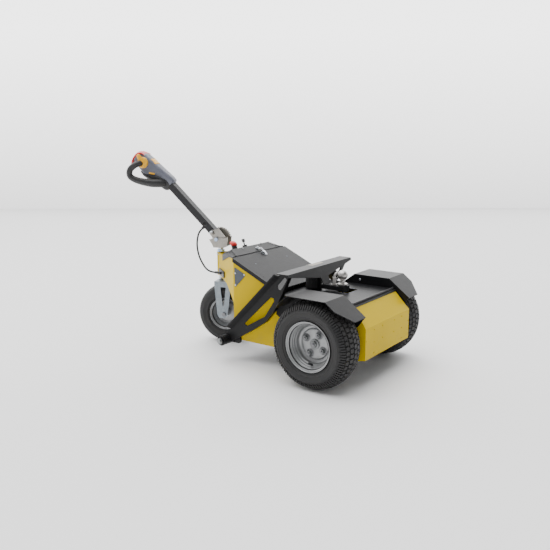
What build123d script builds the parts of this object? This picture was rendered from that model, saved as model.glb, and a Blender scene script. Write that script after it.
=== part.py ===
from build123d import *
from math import cos, pi, radians, sin, sqrt, tan
import os

os.makedirs("parts", exist_ok=True)

# Electric tow tractor. X runs forward to the tiller, Y to the left, Z up from the floor.
# Lengths are in millimetres and angles in degrees.

# Driving dimensions
rear_axle_x = -559
wheel_base = 819
steer_angle = 20
tiller_angle = 45.7
overrun = 5
seat = 0.3
panel_sheet = 3
frame_sheet = 6

# Wheels
rear_tyre_radius = 205.5
rear_tyre_width = 160
rear_rim_radius = 116
front_tyre_radius = 162
front_tyre_width = 108
front_rim_radius = 89
front_trail = 36
flange_height = 14
rim_sheet = 4

# Body
body_half = 219
body_floor_z = 108
fold_ahead = 550
tail_behind = 201
tail_floor_z = 138
tail_rise_behind = 60
tail_knee_z = 283
deck_z = 375
deck_rear_behind = 127
deck_inset = 16
deck_rear_half = body_half - deck_inset
cheek_front_behind = 110
nose_top_z = 497
nose_low_z = 374
nose_fold_low_z = 294
nose_crest_z = 522
nose_crest_ahead = 66
nose_dip_ahead = 170
head_tube_radius = 21
stem_radius = 15
wheel_out = 90
rear_wheel_y = body_half + wheel_out

# Hood
hood_out = 6
hood_half = body_half + hood_out
hood_front_ahead = 551
hood_rear_ahead = 272
hood_front_z = 523
hood_angle = 24.2
hood_skirt = 20
hood_clearance = 5

# Places along X
steer_x = rear_axle_x + wheel_base
fold_x = rear_axle_x + fold_ahead
tail_x = rear_axle_x - tail_behind
deck_rear_x = rear_axle_x - deck_rear_behind
cheek_x = rear_axle_x - cheek_front_behind
hood_front_x = rear_axle_x + hood_front_ahead
hood_rear_x = rear_axle_x + hood_rear_ahead
nose_slope = (body_half - head_tube_radius) / (steer_x - fold_x)
nose_turn = sqrt(1 + nose_slope**2)
hood_slope = tan(radians(hood_angle))
knuckle_radius = 8
hinge_x = hood_rear_x + knuckle_radius
hood_sheet_drop = panel_sheet / cos(radians(hood_angle))


def side_plane(y):
    """The vertical plane at y, seen from the right-hand side: extrude runs towards the right."""
    return Plane.XZ.offset(-y)


def hood_top(x):
    return hood_front_z - (hood_front_x - x) * hood_slope


def nose_half(x):
    """Half-width of the nose, outside, at x."""
    return body_half - (x - fold_x) * nose_slope


def mirrored(piece, about=Plane.XZ):
    with BuildPart() as other:
        mirror(piece.part, about=about)
    return other


# Side panels, each folded once into its half of the nose
side_fold_inset = panel_sheet * (nose_turn - 1) / nose_slope
side_plan = [
    (tail_x + panel_sheet, body_half),
    (fold_x, body_half),
    (steer_x, head_tube_radius),
    (steer_x, head_tube_radius - panel_sheet * nose_turn),
    (fold_x - side_fold_inset, body_half - panel_sheet),
    (tail_x + panel_sheet, body_half - panel_sheet),
]
side_rail_drop = hood_sheet_drop + hood_clearance
nose_crest_x = fold_x + nose_crest_ahead
nose_dip_x = fold_x + nose_dip_ahead
# The nose's concave lower edge, from the fold to the tip: shares of its length and of its rise
nose_arch_shares = [(0, 0), (0.22, 0.46), (0.45, 0.85), (0.66, 0.94), (1, 1)]
nose_run = steer_x - fold_x
nose_rise = nose_low_z - nose_fold_low_z
side_profile = [
    (tail_x, tail_floor_z),
    (tail_x, tail_knee_z),
    (cheek_x, tail_knee_z),
    (cheek_x, deck_z - panel_sheet),
    (hinge_x, deck_z - panel_sheet),
    (hinge_x, hood_top(hinge_x) - side_rail_drop),
    (hood_front_x, hood_top(hood_front_x) - side_rail_drop),
    (nose_crest_x, nose_crest_z),
    (nose_dip_x, nose_top_z),
    (steer_x, nose_top_z),
] + [(fold_x + run * nose_run, nose_fold_low_z + rise * nose_rise) for run, rise in reversed(nose_arch_shares)] + [
    (fold_x, body_floor_z),
    (rear_axle_x - tail_rise_behind, body_floor_z),
]
axle_tube_radius = 32
with BuildPart() as side_panel_left:
    with BuildSketch(Plane.XY.offset(body_floor_z)):
        with BuildLine():
            Polyline(*side_plan, close=True)
        make_face()
    extrude(amount=nose_crest_z + hood_front_z - body_floor_z)
    with BuildSketch(side_plane(body_half + overrun)):
        with BuildLine():
            Polyline(*side_profile, close=True)
        make_face()
    extrude(amount=body_half + overrun, mode=Mode.INTERSECT)
    with BuildSketch(side_plane(body_half)):
        with Locations((rear_axle_x, rear_tyre_radius)):
            Circle(axle_tube_radius + seat)
    extrude(amount=panel_sheet, mode=Mode.SUBTRACT)
    with BuildSketch(Plane.XY.offset(nose_low_z - overrun)):
        with Locations((steer_x, 0)):
            Circle(head_tube_radius + seat)
    extrude(amount=nose_top_z - nose_low_z + 2 * overrun, mode=Mode.SUBTRACT)
side_panel_left.part.label = "side_panel_left"
export_step(side_panel_left.part, "parts/side_panel_left.step")
side_panel_right = mirrored(side_panel_left)
side_panel_right.part.label = "side_panel_right"
export_step(side_panel_right.part, "parts/side_panel_right.step")

# Floor pan: flat under the battery, rising to the tail
inner_half = body_half - panel_sheet
pan_line = [
    (fold_x - panel_sheet, body_floor_z),
    (rear_axle_x - tail_rise_behind, body_floor_z),
    (tail_x + panel_sheet, tail_floor_z),
]
with BuildPart() as floor_pan:
    with BuildSketch(side_plane(inner_half)):
        with BuildLine():
            Polyline(*pan_line, *[(x, z + panel_sheet) for x, z in reversed(pan_line)], close=True)
        make_face()
    extrude(amount=2 * inner_half)
floor_pan.part.label = "floor_pan"
export_step(floor_pan.part, "parts/floor_pan.step")

# Bulkhead between the battery space and the front wheel
bulkhead_top_z = hood_top(fold_x) - side_rail_drop
with BuildPart() as bulkhead:
    with BuildSketch(Plane.XY.offset(body_floor_z)):
        with Locations((fold_x - side_fold_inset - panel_sheet / 2, 0)):
            Rectangle(panel_sheet, 2 * inner_half)
    extrude(amount=bulkhead_top_z - body_floor_z)
    add(floor_pan.part, mode=Mode.SUBTRACT)
bulkhead.part.label = "bulkhead"
export_step(bulkhead.part, "parts/bulkhead.step")

# Steering head: the tube that the stem turns in, welded between two gusset plates
gusset_rear_x = nose_dip_x
gusset_inset = panel_sheet * nose_turn + seat
head_tube_bottom_z = nose_low_z - panel_sheet
with BuildPart() as steering_head:
    with BuildSketch(Plane.XY.offset(head_tube_bottom_z)):
        with Locations((steer_x, 0)):
            Circle(head_tube_radius)
    extrude(amount=nose_top_z - head_tube_bottom_z)
    for gusset_z in (nose_low_z + panel_sheet, nose_top_z - 2 * panel_sheet):
        with BuildSketch(Plane.XY.offset(gusset_z)):
            with BuildLine():
                Polyline(
                    (gusset_rear_x, nose_half(gusset_rear_x) - gusset_inset),
                    (steer_x, nose_half(steer_x) - gusset_inset),
                    (steer_x, gusset_inset - nose_half(steer_x)),
                    (gusset_rear_x, gusset_inset - nose_half(gusset_rear_x)),
                    close=True,
                )
            make_face()
        extrude(amount=panel_sheet)
    with Locations((steer_x, 0, nose_top_z)):
        Hole(stem_radius + seat)
steering_head.part.label = "steering_head"
export_step(steering_head.part, "parts/steering_head.step")

# Rear cover: an upright plate, then a sloped hood with two cheeks up to the deck
cheek_length = cheek_x - tail_x
tail_hole_radius = 3.5
# Distance of a column of holes from the middle, and the heights of its holes
tail_holes = [
    (59, [207, 264]),
    (140, [157, 207, 264]),
    (210, [226]),
]
with BuildPart() as rear_cover:
    with BuildSketch(Plane.XY.offset(tail_knee_z)):
        with Locations(((tail_x + cheek_x) / 2, 0)):
            Rectangle(cheek_length, 2 * body_half)
    with BuildSketch(Plane.XY.offset(deck_z - panel_sheet)):
        with Locations(((deck_rear_x + cheek_x) / 2, 0)):
            Rectangle(cheek_x - deck_rear_x, 2 * deck_rear_half)
    loft(ruled=True)
    with BuildSketch(Plane.XY.offset(tail_knee_z)):
        with Locations(((tail_x + cheek_x) / 2 + panel_sheet, 0)):
            Rectangle(cheek_length, 2 * inner_half)
    with BuildSketch(Plane.XY.offset(deck_z - panel_sheet)):
        with Locations(((deck_rear_x + cheek_x) / 2 + panel_sheet, 0)):
            Rectangle(cheek_x - deck_rear_x, 2 * deck_rear_half - 2 * panel_sheet)
    loft(ruled=True, mode=Mode.SUBTRACT)
    with BuildSketch(Plane.XY.offset(tail_floor_z)):
        with Locations((tail_x + panel_sheet / 2, 0)):
            Rectangle(panel_sheet, 2 * body_half)
    extrude(amount=tail_knee_z - tail_floor_z)
    with BuildSketch(Plane(origin=(tail_x, 0, 0), x_dir=(0, 1, 0), z_dir=(1, 0, 0))):
        for hole_y, hole_heights in tail_holes:
            for side in (1, -1):
                for hole_z in hole_heights:
                    with Locations((side * hole_y, hole_z)):
                        Circle(tail_hole_radius)
    extrude(amount=panel_sheet, mode=Mode.SUBTRACT)
rear_cover.part.label = "rear_cover"
export_step(rear_cover.part, "parts/rear_cover.step")

# Deck: the plate over the drive unit, with a lip at its tail and slots for the lift rod and the tongue
deck_front_x = hood_rear_x + hood_clearance + 2 * panel_sheet
deck_lip = 9
deck_lip_x = deck_rear_x - seat - 2 * panel_sheet
tongue_slot_length = 60
tongue_slot_width = 100
tongue_slot_ahead = 18
tongue_slot_y = -45
rod_slot_radius = 17
rod_slot_length = 75
rod_slot_ahead = 232
lift_lean_x = rear_axle_x + rod_slot_ahead
with BuildPart() as deck:
    with BuildSketch(Plane.XY.offset(deck_z - panel_sheet)):
        with BuildLine():
            Polyline(
                (deck_lip_x, deck_rear_half),
                (cheek_x, deck_rear_half),
                (cheek_x, body_half),
                (hood_rear_x, body_half),
                (hood_rear_x, inner_half),
                (deck_front_x, inner_half),
                (deck_front_x, -inner_half),
                (hood_rear_x, -inner_half),
                (hood_rear_x, -body_half),
                (cheek_x, -body_half),
                (cheek_x, -deck_rear_half),
                (deck_lip_x, -deck_rear_half),
                close=True,
            )
        make_face()
        with Locations((lift_lean_x, 0)):
            SlotOverall(rod_slot_length, 2 * rod_slot_radius, mode=Mode.SUBTRACT)
        with Locations((rear_axle_x + tongue_slot_ahead + tongue_slot_length / 2, tongue_slot_y)):
            Rectangle(tongue_slot_length, tongue_slot_width, mode=Mode.SUBTRACT)
    extrude(amount=panel_sheet)
    with BuildSketch(Plane.XY.offset(deck_z - deck_lip)):
        with Locations((deck_lip_x + panel_sheet / 2, 0)):
            Rectangle(panel_sheet, 2 * deck_rear_half)
    extrude(amount=deck_lip)
    add(rear_cover.part, mode=Mode.SUBTRACT)
deck.part.label = "deck"
export_step(deck.part, "parts/deck.step")

# Fenders: a folded roof over each rear wheel, with an upright web down to the side panel
fender_top_z = 422
fender_out = 161
fender_outer_y = body_half + fender_out
fender_top_rear = 88
fender_top_front = 109
fender_drop = 83.5
fender_slope_run = 111
fender_corner = 45
fender_web_y = body_half + seat
# Lower edge of the web, from its front: distance ahead of the rear axle and height
fender_web_foot = [
    (175, 372),
    (268, 372),
    (284, 277),
    (264, 265),
    (-130, 265),
    (-161, 289),
]
fender_line = [
    (rear_axle_x - fender_top_rear - fender_slope_run, fender_top_z - fender_drop),
    (rear_axle_x - fender_top_rear, fender_top_z),
    (rear_axle_x + fender_top_front, fender_top_z),
    (rear_axle_x + fender_top_front + fender_slope_run, fender_top_z - fender_drop),
]
fender_ends = (rear_axle_x - fender_top_rear - fender_slope_run, rear_axle_x + fender_top_front + fender_slope_run)
with BuildPart() as fender_left:
    with BuildSketch(side_plane(fender_outer_y)):
        with BuildLine():
            Polyline(*fender_line, *[(x, z - panel_sheet) for x, z in reversed(fender_line)], close=True)
        make_face()
    extrude(amount=fender_outer_y - fender_web_y)
    for end_x in fender_ends:
        with BuildSketch(Plane.XY.offset(fender_top_z - fender_drop - overrun)):
            with Locations((end_x, fender_outer_y)):
                Rectangle(2 * fender_corner, 2 * fender_corner, rotation=45)
        extrude(amount=fender_drop + 2 * overrun, mode=Mode.SUBTRACT)
    with BuildSketch(side_plane(fender_web_y + panel_sheet)):
        with BuildLine():
            Polyline(
                *fender_line[:3],
                *[(rear_axle_x + ahead, height) for ahead, height in fender_web_foot],
                close=True,
            )
        make_face()
    extrude(amount=panel_sheet)
fender_left.part.label = "fender_left"
export_step(fender_left.part, "parts/fender_left.step")
fender_right = mirrored(fender_left)
fender_right.part.label = "fender_right"
export_step(fender_right.part, "parts/fender_right.step")

# Front cover: a folded roof over the nose, with skirts on both sides
# Columns: distance ahead of the fold, inset of the roof from the body's side, height of the roof, of the knee and of the skirt's foot
cover_sections = [
    (6, 34.4, 527, 525, 520),
    (66, 65.5, 550, 535, 514),
    (186, 147, 508, 503, 468),
]
cover_outset = panel_sheet * nose_turn + seat


def cover_outline(x, roof_inset, roof_z, knee_z, foot_z, inset):
    """Half-section of the front cover at x, mirrored by the caller: foot, knee and roof corner."""
    wall_y = nose_half(x) + cover_outset - inset
    return [(wall_y, foot_z - inset), (wall_y, knee_z - inset), (body_half - roof_inset - inset, roof_z - inset)]


with BuildPart() as front_cover:
    for inset, mode in ((0, Mode.ADD), (panel_sheet, Mode.SUBTRACT)):
        for ahead, roof_inset, roof_z, knee_z, foot_z in cover_sections:
            section_x = fold_x + ahead
            half = cover_outline(section_x, roof_inset, roof_z, knee_z, foot_z, inset)
            with BuildSketch(Plane(origin=(section_x, 0, 0), x_dir=(0, 1, 0), z_dir=(1, 0, 0))):
                with BuildLine():
                    Polyline(*half, *[(-y, z) for y, z in reversed(half)], close=True)
                make_face()
        loft(ruled=True, mode=mode)
front_cover.part.label = "front_cover"
export_step(front_cover.part, "parts/front_cover.step")

# Hood over the battery, with side skirts, and hinge knuckles at its low rear edge
hinge_radius = 4
hinge_z = hood_top(hinge_x) - hood_sheet_drop - knuckle_radius
knuckle_length = 50
knuckle_y = 120
hood_line = [(hood_rear_x, hood_top(hood_rear_x)), (hood_front_x, hood_front_z)]
with BuildPart() as hood:
    with BuildSketch(side_plane(hood_half)):
        with BuildLine():
            Polyline(*hood_line, *[(x, z - hood_skirt) for x, z in reversed(hood_line)], close=True)
        make_face()
    extrude(amount=2 * hood_half)
    with BuildSketch(side_plane(hood_half - panel_sheet)):
        with BuildLine():
            Polyline(
                (hood_rear_x - overrun, hood_top(hood_rear_x - overrun) - hood_sheet_drop),
                (hood_front_x + overrun, hood_top(hood_front_x + overrun) - hood_sheet_drop),
                (hood_front_x + overrun, hood_front_z - hood_skirt - overrun),
                (hood_rear_x - overrun, hood_top(hood_rear_x) - hood_skirt - overrun),
                close=True,
            )
        make_face()
    extrude(amount=2 * (hood_half - panel_sheet), mode=Mode.SUBTRACT)
    for side in (1, -1):
        with BuildSketch(side_plane(side * knuckle_y + knuckle_length / 2)):
            with Locations((hinge_x, hinge_z)):
                Circle(knuckle_radius)
            with Locations((hinge_x, hinge_z + knuckle_radius / 2)):
                Rectangle(knuckle_radius, knuckle_radius + hood_sheet_drop)
        extrude(amount=knuckle_length)
    with BuildSketch(side_plane(hood_half)):
        with Locations((hinge_x, hinge_z)):
            Circle(hinge_radius + seat)
    extrude(amount=2 * hood_half, mode=Mode.SUBTRACT)
hood.part.label = "hood"
export_step(hood.part, "parts/hood.step")

# Hinge pins on lugs that stand on the deck
lug_length = 12
lug_radius = 6.5
lug_gap = 0.5
with BuildPart() as hood_hinge:
    for side in (1, -1):
        for end in (1, -1):
            lug_y = side * knuckle_y + end * (knuckle_length / 2 + lug_gap + lug_length / 2)
            with BuildSketch(side_plane(lug_y + lug_length / 2)):
                with Locations((hinge_x, hinge_z)):
                    Circle(lug_radius)
                with Locations((hinge_x, (hinge_z + deck_z) / 2)):
                    Rectangle(2 * lug_radius, hinge_z - deck_z)
            extrude(amount=lug_length)
        with BuildSketch(side_plane(side * knuckle_y + knuckle_length / 2 + lug_gap + lug_length)):
            with Locations((hinge_x, hinge_z)):
                Circle(hinge_radius)
        extrude(amount=knuckle_length + 2 * lug_gap + 2 * lug_length)
hood_hinge.part.label = "hood_hinge"
export_step(hood_hinge.part, "parts/hood_hinge.step")

# Toggle latch on the hood, its hook over the joint to the front cover
latch_width = 26
latch_length = 44
latch_height = 6
latch_back = 50
latch_y = -14
hook_width = 12
hook_length = 30
hook_rise = 8
hook_height = 5
latch_plane = Plane(
    origin=(hood_front_x - latch_back, latch_y, hood_top(hood_front_x - latch_back)),
    x_dir=(1, 0, hood_slope),
    z_dir=(-hood_slope, 0, 1),
)
with BuildPart() as hood_latch:
    with BuildSketch(latch_plane.offset(seat)):
        with Locations((latch_length / 2, 0)):
            RectangleRounded(latch_length, latch_width, latch_height)
    extrude(amount=latch_height)
    with BuildSketch(latch_plane.offset(seat + latch_height)):
        with Locations((latch_length / 2, 0)):
            Rectangle(latch_length - latch_height, hook_width)
    extrude(amount=hook_rise)
    with BuildSketch(latch_plane.offset(seat + latch_height + hook_rise)):
        with Locations((latch_length + hook_length / 2 - latch_height, 0)):
            Rectangle(hook_length + latch_height, hook_width)
    extrude(amount=hook_height)
hood_latch.part.label = "hood_latch"
export_step(hood_latch.part, "parts/hood_latch.step")

# Emergency stop and key switch, square to the front slope of the cover
crest, dip = cover_sections[1], cover_sections[2]
front_slope = (crest[2] - dip[2]) / (dip[0] - crest[0])


def slope_plane(ahead, y):
    """Plane on the cover's front slope, its normal square to the slope."""
    return Plane(
        origin=(fold_x + ahead, y, crest[2] - (ahead - crest[0]) * front_slope),
        x_dir=(1, 0, -front_slope),
        z_dir=(front_slope, 0, 1),
    )


stop_ahead = 112
stop_y = 68
stop_base_radius = 15
stop_base_height = 26
stop_cap_radius = 19
stop_cap_height = 13
with BuildPart() as stop_base:
    with BuildSketch(slope_plane(stop_ahead, stop_y).offset(seat)):
        Circle(stop_base_radius)
    extrude(amount=stop_base_height)
stop_base.part.label = "stop_base"
export_step(stop_base.part, "parts/stop_base.step")
with BuildPart() as stop_button:
    with BuildSketch(slope_plane(stop_ahead, stop_y).offset(seat + stop_base_height)):
        Circle(stop_cap_radius)
    extrude(amount=stop_cap_height)
    fillet(stop_button.edges().filter_by(GeomType.CIRCLE).sort_by(Axis.Z)[-1], stop_cap_height / 2)
stop_button.part.label = "stop_button"
export_step(stop_button.part, "parts/stop_button.step")

key_ahead = 112
key_y = -16
key_base_radius = 13
key_base_height = 12
key_length = 34
key_width = 20
key_thickness = 5
with BuildPart() as key_switch:
    with BuildSketch(slope_plane(key_ahead, key_y).offset(seat)):
        Circle(key_base_radius)
    extrude(amount=key_base_height)
    with BuildSketch(slope_plane(key_ahead, key_y).offset(seat + key_base_height)):
        Rectangle(key_thickness, key_thickness)
    extrude(amount=key_length)
    with BuildSketch(slope_plane(key_ahead, key_y).offset(seat + key_base_height + key_length / 2)):
        Rectangle(key_thickness, key_width)
    extrude(amount=key_length / 2)
key_switch.part.label = "key_switch"
export_step(key_switch.part, "parts/key_switch.step")

# Cable socket on the left half of the nose: a flat plate, with a sleeve that turns forward to the cable
socket_ahead = 198
socket_z = 399.5
socket_length = 116
socket_height = 32
socket_depth = 8
sleeve_radius = 7
sleeve_length = 36
socket_x = fold_x + socket_ahead
socket_normal = Vector(nose_slope, 1, 0).normalized()
socket_along = Vector(1, -nose_slope, 0).normalized()
sleeve_dir = (socket_normal + socket_along).normalized()
socket_plane = Plane(origin=(socket_x, nose_half(socket_x), socket_z), x_dir=socket_along, z_dir=socket_normal)
sleeve_root = Vector(socket_x, nose_half(socket_x), socket_z) + socket_normal * socket_depth
with BuildPart() as cable_socket:
    with BuildSketch(socket_plane):
        RectangleRounded(socket_length, socket_height, panel_sheet)
    extrude(amount=socket_depth)
    with BuildSketch(Plane(origin=sleeve_root, x_dir=(0, 0, 1), z_dir=sleeve_dir)):
        Circle(sleeve_radius)
    extrude(amount=sleeve_length)
cable_socket.part.label = "cable_socket"
export_step(cable_socket.part, "parts/cable_socket.step")

# Heavy masses inside the body, as plain blocks
battery_length = 230
battery_gap = 16
battery_width = 2 * (inner_half - battery_gap)
battery_height = 215
battery_front_gap = 25
with BuildPart() as battery:
    with BuildSketch(Plane.XY.offset(body_floor_z + panel_sheet)):
        with Locations((fold_x - battery_front_gap - battery_length / 2, 0)):
            Rectangle(battery_length, battery_width)
    extrude(amount=battery_height)
battery.part.label = "battery"
export_step(battery.part, "parts/battery.step")

drive_inset = 29
drive_half = body_half - drive_inset
drive_radius = 80
with BuildPart() as drive_unit:
    with BuildSketch(side_plane(drive_half)):
        with Locations((rear_axle_x, rear_tyre_radius)):
            Circle(drive_radius)
    extrude(amount=2 * drive_half)
    with BuildSketch(Plane.XY.offset(body_floor_z + panel_sheet)):
        with Locations((rear_axle_x, 0)):
            Rectangle(drive_radius, 2 * drive_radius)
    extrude(amount=rear_tyre_radius - body_floor_z - panel_sheet)
drive_unit.part.label = "drive_unit"
export_step(drive_unit.part, "parts/drive_unit.step")

# Axle tubes from the drive unit out through the side panels
hub_radius = 50
hub_thickness = 10
shaft_radius = 15
hub_inner_y = rear_wheel_y - hub_thickness
hub_gap = 8
axle_tube_end_y = hub_inner_y - hub_gap
with BuildPart() as axle_tube_left:
    with BuildSketch(side_plane(axle_tube_end_y)):
        with Locations((rear_axle_x, rear_tyre_radius)):
            Circle(axle_tube_radius)
            Circle(shaft_radius + seat, mode=Mode.SUBTRACT)
    extrude(amount=axle_tube_end_y - drive_half)
axle_tube_left.part.label = "axle_tube_left"
export_step(axle_tube_left.part, "parts/axle_tube_left.step")
axle_tube_right = mirrored(axle_tube_left)
axle_tube_right.part.label = "axle_tube_right"
export_step(axle_tube_right.part, "parts/axle_tube_right.step")

# Hubs: flange and drive shaft, on the wheels
nut_radius = 20
nut_length = 14
shaft_gap = 25
shaft_end_y = drive_half + shaft_gap
with BuildPart() as hub_left:
    with BuildSketch(side_plane(rear_wheel_y)):
        with Locations((rear_axle_x, rear_tyre_radius)):
            Circle(hub_radius)
    extrude(amount=hub_thickness)
    with BuildSketch(side_plane(rear_wheel_y + nut_length)):
        with Locations((rear_axle_x, rear_tyre_radius)):
            Circle(nut_radius)
    extrude(amount=nut_length)
    with BuildSketch(side_plane(hub_inner_y)):
        with Locations((rear_axle_x, rear_tyre_radius)):
            Circle(shaft_radius)
    extrude(amount=hub_inner_y - shaft_end_y)
hub_left.part.label = "hub_left"
export_step(hub_left.part, "parts/hub_left.step")
hub_right = mirrored(hub_left)
hub_right.part.label = "hub_right"
export_step(hub_right.part, "parts/hub_right.step")


# The dropped middle's ends as shares of the rim's half-width
well_shares = (0.25, 0.333, 0.5)


def rim_outline(radius, half, disc_at, disc_low, disc_step):
    """Section of a pressed rim: flanges at both ends, a dropped middle and a dished disc, as a closed outline."""
    bead = radius - flange_height
    drop = bead - 2 * rim_sheet
    well_near, well_far, well_out = (share * half for share in well_shares)
    outer = [(-half, radius), (-half + rim_sheet, bead), (-well_far, bead), (-well_near, drop)]
    outer += [(well_out, drop), (well_out + rim_sheet, bead), (half - rim_sheet, bead), (half, radius)]
    inner = [(half + rim_sheet, radius), (half, bead - rim_sheet), (well_out + 2 * rim_sheet, bead - rim_sheet)]
    inner += [(well_out, drop - rim_sheet), (disc_at + disc_step, drop - 2 * rim_sheet)]
    inner += [(disc_at + rim_sheet, disc_low + disc_step), (disc_at + rim_sheet, disc_low), (disc_at, disc_low)]
    inner += [(disc_at, disc_low + disc_step + rim_sheet), (disc_at + disc_step - rim_sheet, drop - rim_sheet)]
    inner += [(-well_near - rim_sheet, drop - rim_sheet), (-well_far - rim_sheet, bead - rim_sheet)]
    inner += [(-half, bead - rim_sheet), (-half - rim_sheet, radius)]
    return outer + inner


def make_rim(plane, radius, half, disc_at, disc_low, disc_step):
    with BuildPart() as rim:
        with BuildSketch(plane):
            with BuildLine():
                Polyline(*rim_outline(radius, half, disc_at, disc_low, disc_step), close=True)
            make_face()
        revolve(axis=Axis(plane.origin, plane.x_dir))
    return rim


# Drop of the tread's edge and half-width of the tread, as shares of the tyre's width
shoulder_share = 0.111
tread_half_share = 0.4167


def make_tyre(plane, radius, width, rim_radius, rim_half):
    """A tyre's ring: beads on the rim, bulging walls and a slightly crowned tread."""
    bead = rim_radius - flange_height
    shoulder = radius - shoulder_share * width
    wall_radius = (bead + shoulder) / 2
    tread_half = tread_half_share * width
    bead_half = rim_half - rim_sheet - seat
    with BuildPart() as tyre:
        with BuildSketch(plane):
            with BuildLine():
                Line((-bead_half, bead + seat), (bead_half, bead + seat))
                Line((bead_half, bead + seat), (bead_half, rim_radius))
                ThreePointArc((bead_half, rim_radius), (width / 2, wall_radius), (tread_half, shoulder))
                ThreePointArc((tread_half, shoulder), (0, radius), (-tread_half, shoulder))
                ThreePointArc((-tread_half, shoulder), (-width / 2, wall_radius), (-bead_half, rim_radius))
                Line((-bead_half, rim_radius), (-bead_half, bead + seat))
            make_face()
        revolve(axis=Axis(plane.origin, plane.x_dir))
    return tyre


# Rear wheels
rear_rim_half = 68
rear_disc_step = 14
for side, sign in (("left", 1), ("right", -1)):
    plane = Plane(
        origin=(rear_axle_x, sign * rear_wheel_y, rear_tyre_radius), x_dir=(0, sign, 0), z_dir=(sign, 0, 0)
    )
    rim = make_rim(plane, rear_rim_radius, rear_rim_half, 0, nut_radius + seat, rear_disc_step)
    rim.part.label = f"rim_{side}"
    export_step(rim.part, f"parts/rim_{side}.step")
    tyre = make_tyre(plane, rear_tyre_radius, rear_tyre_width, rear_rim_radius, rear_rim_half)
    tyre.part.label = f"tyre_{side}"
    export_step(tyre.part, f"parts/tyre_{side}.step")

# The steered group is drawn straight ahead and turned about the steering axis
steer_place = Location((steer_x, 0, 0), (0, 0, steer_angle))


def steered(plane):
    return Plane(steer_place * plane.location)


def steered_side(offset):
    """Upright plane alongside the steered wheel, offset to its left: extrude runs to its right."""
    return steered(side_plane(offset))


# Fork: a bridge plate and two legs, each with a tapered slot
fork_outer = 65
fork_top_z = 344
fork_foot_z = 141
# Outline of the legs: distance ahead of the steering axis and height
fork_outline = [
    (18, 344),
    (17, 318),
    (3, 160),
    (-9, 141),
    (-43, 141),
    (-55, 160),
    (-63, 205),
    (-74, 303),
    (-60, 338),
    (-54, 344),
]
axle_bolt_radius = 8
slot_top_z = 313
slot_low_z = 208
slot_top_half = 15.5
slot_low_half = 4
slot_middle = 32.5
slot_corner = 3
with BuildPart() as fork:
    with BuildSketch(steered_side(fork_outer)):
        with BuildLine():
            Polyline(
                *fork_outline,
                close=True,
            )
        make_face()
    extrude(amount=2 * fork_outer)
    with BuildSketch(steered_side(fork_outer - frame_sheet)):
        with Locations((-slot_middle, (fork_foot_z - overrun + fork_top_z - frame_sheet) / 2)):
            Rectangle(2 * front_tyre_radius, fork_top_z - frame_sheet - fork_foot_z + overrun)
    extrude(amount=2 * (fork_outer - frame_sheet), mode=Mode.SUBTRACT)
    with BuildSketch(steered_side(fork_outer)):
        with BuildLine():
            FilletPolyline(
                (slot_top_half - slot_middle, slot_top_z),
                (slot_low_half - slot_middle, slot_low_z),
                (-slot_low_half - slot_middle, slot_low_z),
                (-slot_top_half - slot_middle, slot_top_z),
                radius=slot_corner,
                close=True,
            )
        make_face()
        with Locations((-front_trail, front_tyre_radius)):
            Circle(axle_bolt_radius + seat)
    extrude(amount=2 * fork_outer, mode=Mode.SUBTRACT)
fork.part.label = "fork"
export_step(fork.part, "parts/fork.step")

# Front axle bolt, through both legs
bolt_head_radius = 12
bolt_head_length = 8
with BuildPart() as front_axle_bolt:
    with BuildSketch(steered_side(fork_outer + bolt_head_length)):
        with Locations((-front_trail, front_tyre_radius)):
            Circle(axle_bolt_radius)
    extrude(amount=2 * (fork_outer + bolt_head_length))
    for face in (fork_outer + bolt_head_length, -fork_outer):
        with BuildSketch(steered_side(face)):
            with Locations((-front_trail, front_tyre_radius)):
                RegularPolygon(bolt_head_radius, 6)
        extrude(amount=bolt_head_length)
front_axle_bolt.part.label = "front_axle_bolt"
export_step(front_axle_bolt.part, "parts/front_axle_bolt.step")

# Front wheel
front_rim_half = 46
front_disc_step = 10
front_hub_radius = 20
front_hub_gap = 1
front_plane = steered(Plane(origin=(-front_trail, 0, front_tyre_radius), x_dir=(0, 1, 0), z_dir=(1, 0, 0)))
rim_front = make_rim(front_plane, front_rim_radius, front_rim_half, 0, front_hub_radius + seat, front_disc_step)
rim_front.part.label = "rim_front"
export_step(rim_front.part, "parts/rim_front.step")
tyre_front = make_tyre(front_plane, front_tyre_radius, front_tyre_width, front_rim_radius, front_rim_half)
tyre_front.part.label = "tyre_front"
export_step(tyre_front.part, "parts/tyre_front.step")
hub_half = fork_outer - frame_sheet - front_hub_gap
with BuildPart() as hub_front:
    with BuildSketch(steered_side(hub_half)):
        with Locations((-front_trail, front_tyre_radius)):
            Circle(front_hub_radius)
            Circle(axle_bolt_radius + seat, mode=Mode.SUBTRACT)
    extrude(amount=2 * hub_half)
hub_front.part.label = "hub_front"
export_step(hub_front.part, "parts/hub_front.step")

# Steering stem, from the fork's bridge up through the head tube to the tiller bracket
bracket_low_z = 524
with BuildPart() as stem:
    with BuildSketch(steered(Plane.XY.offset(fork_top_z))):
        Circle(stem_radius)
    extrude(amount=bracket_low_z - fork_top_z)
stem.part.label = "stem"
export_step(stem.part, "parts/stem.step")

# Tiller bracket: a folded base with two wings around the tiller's foot
pivot_ahead = 12.5
pivot_z = 569
pivot_radius = 7
tiller_width = 50
tiller_depth = 37
tiller_offset = 8
tiller_cheek_sheet = 4
bracket_gap = 1.5
bracket_sheet = 4
bracket_inner = tiller_width / 2 + seat + tiller_cheek_sheet + bracket_gap
bracket_outer = bracket_inner + bracket_sheet
bracket_reach = 100
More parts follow.
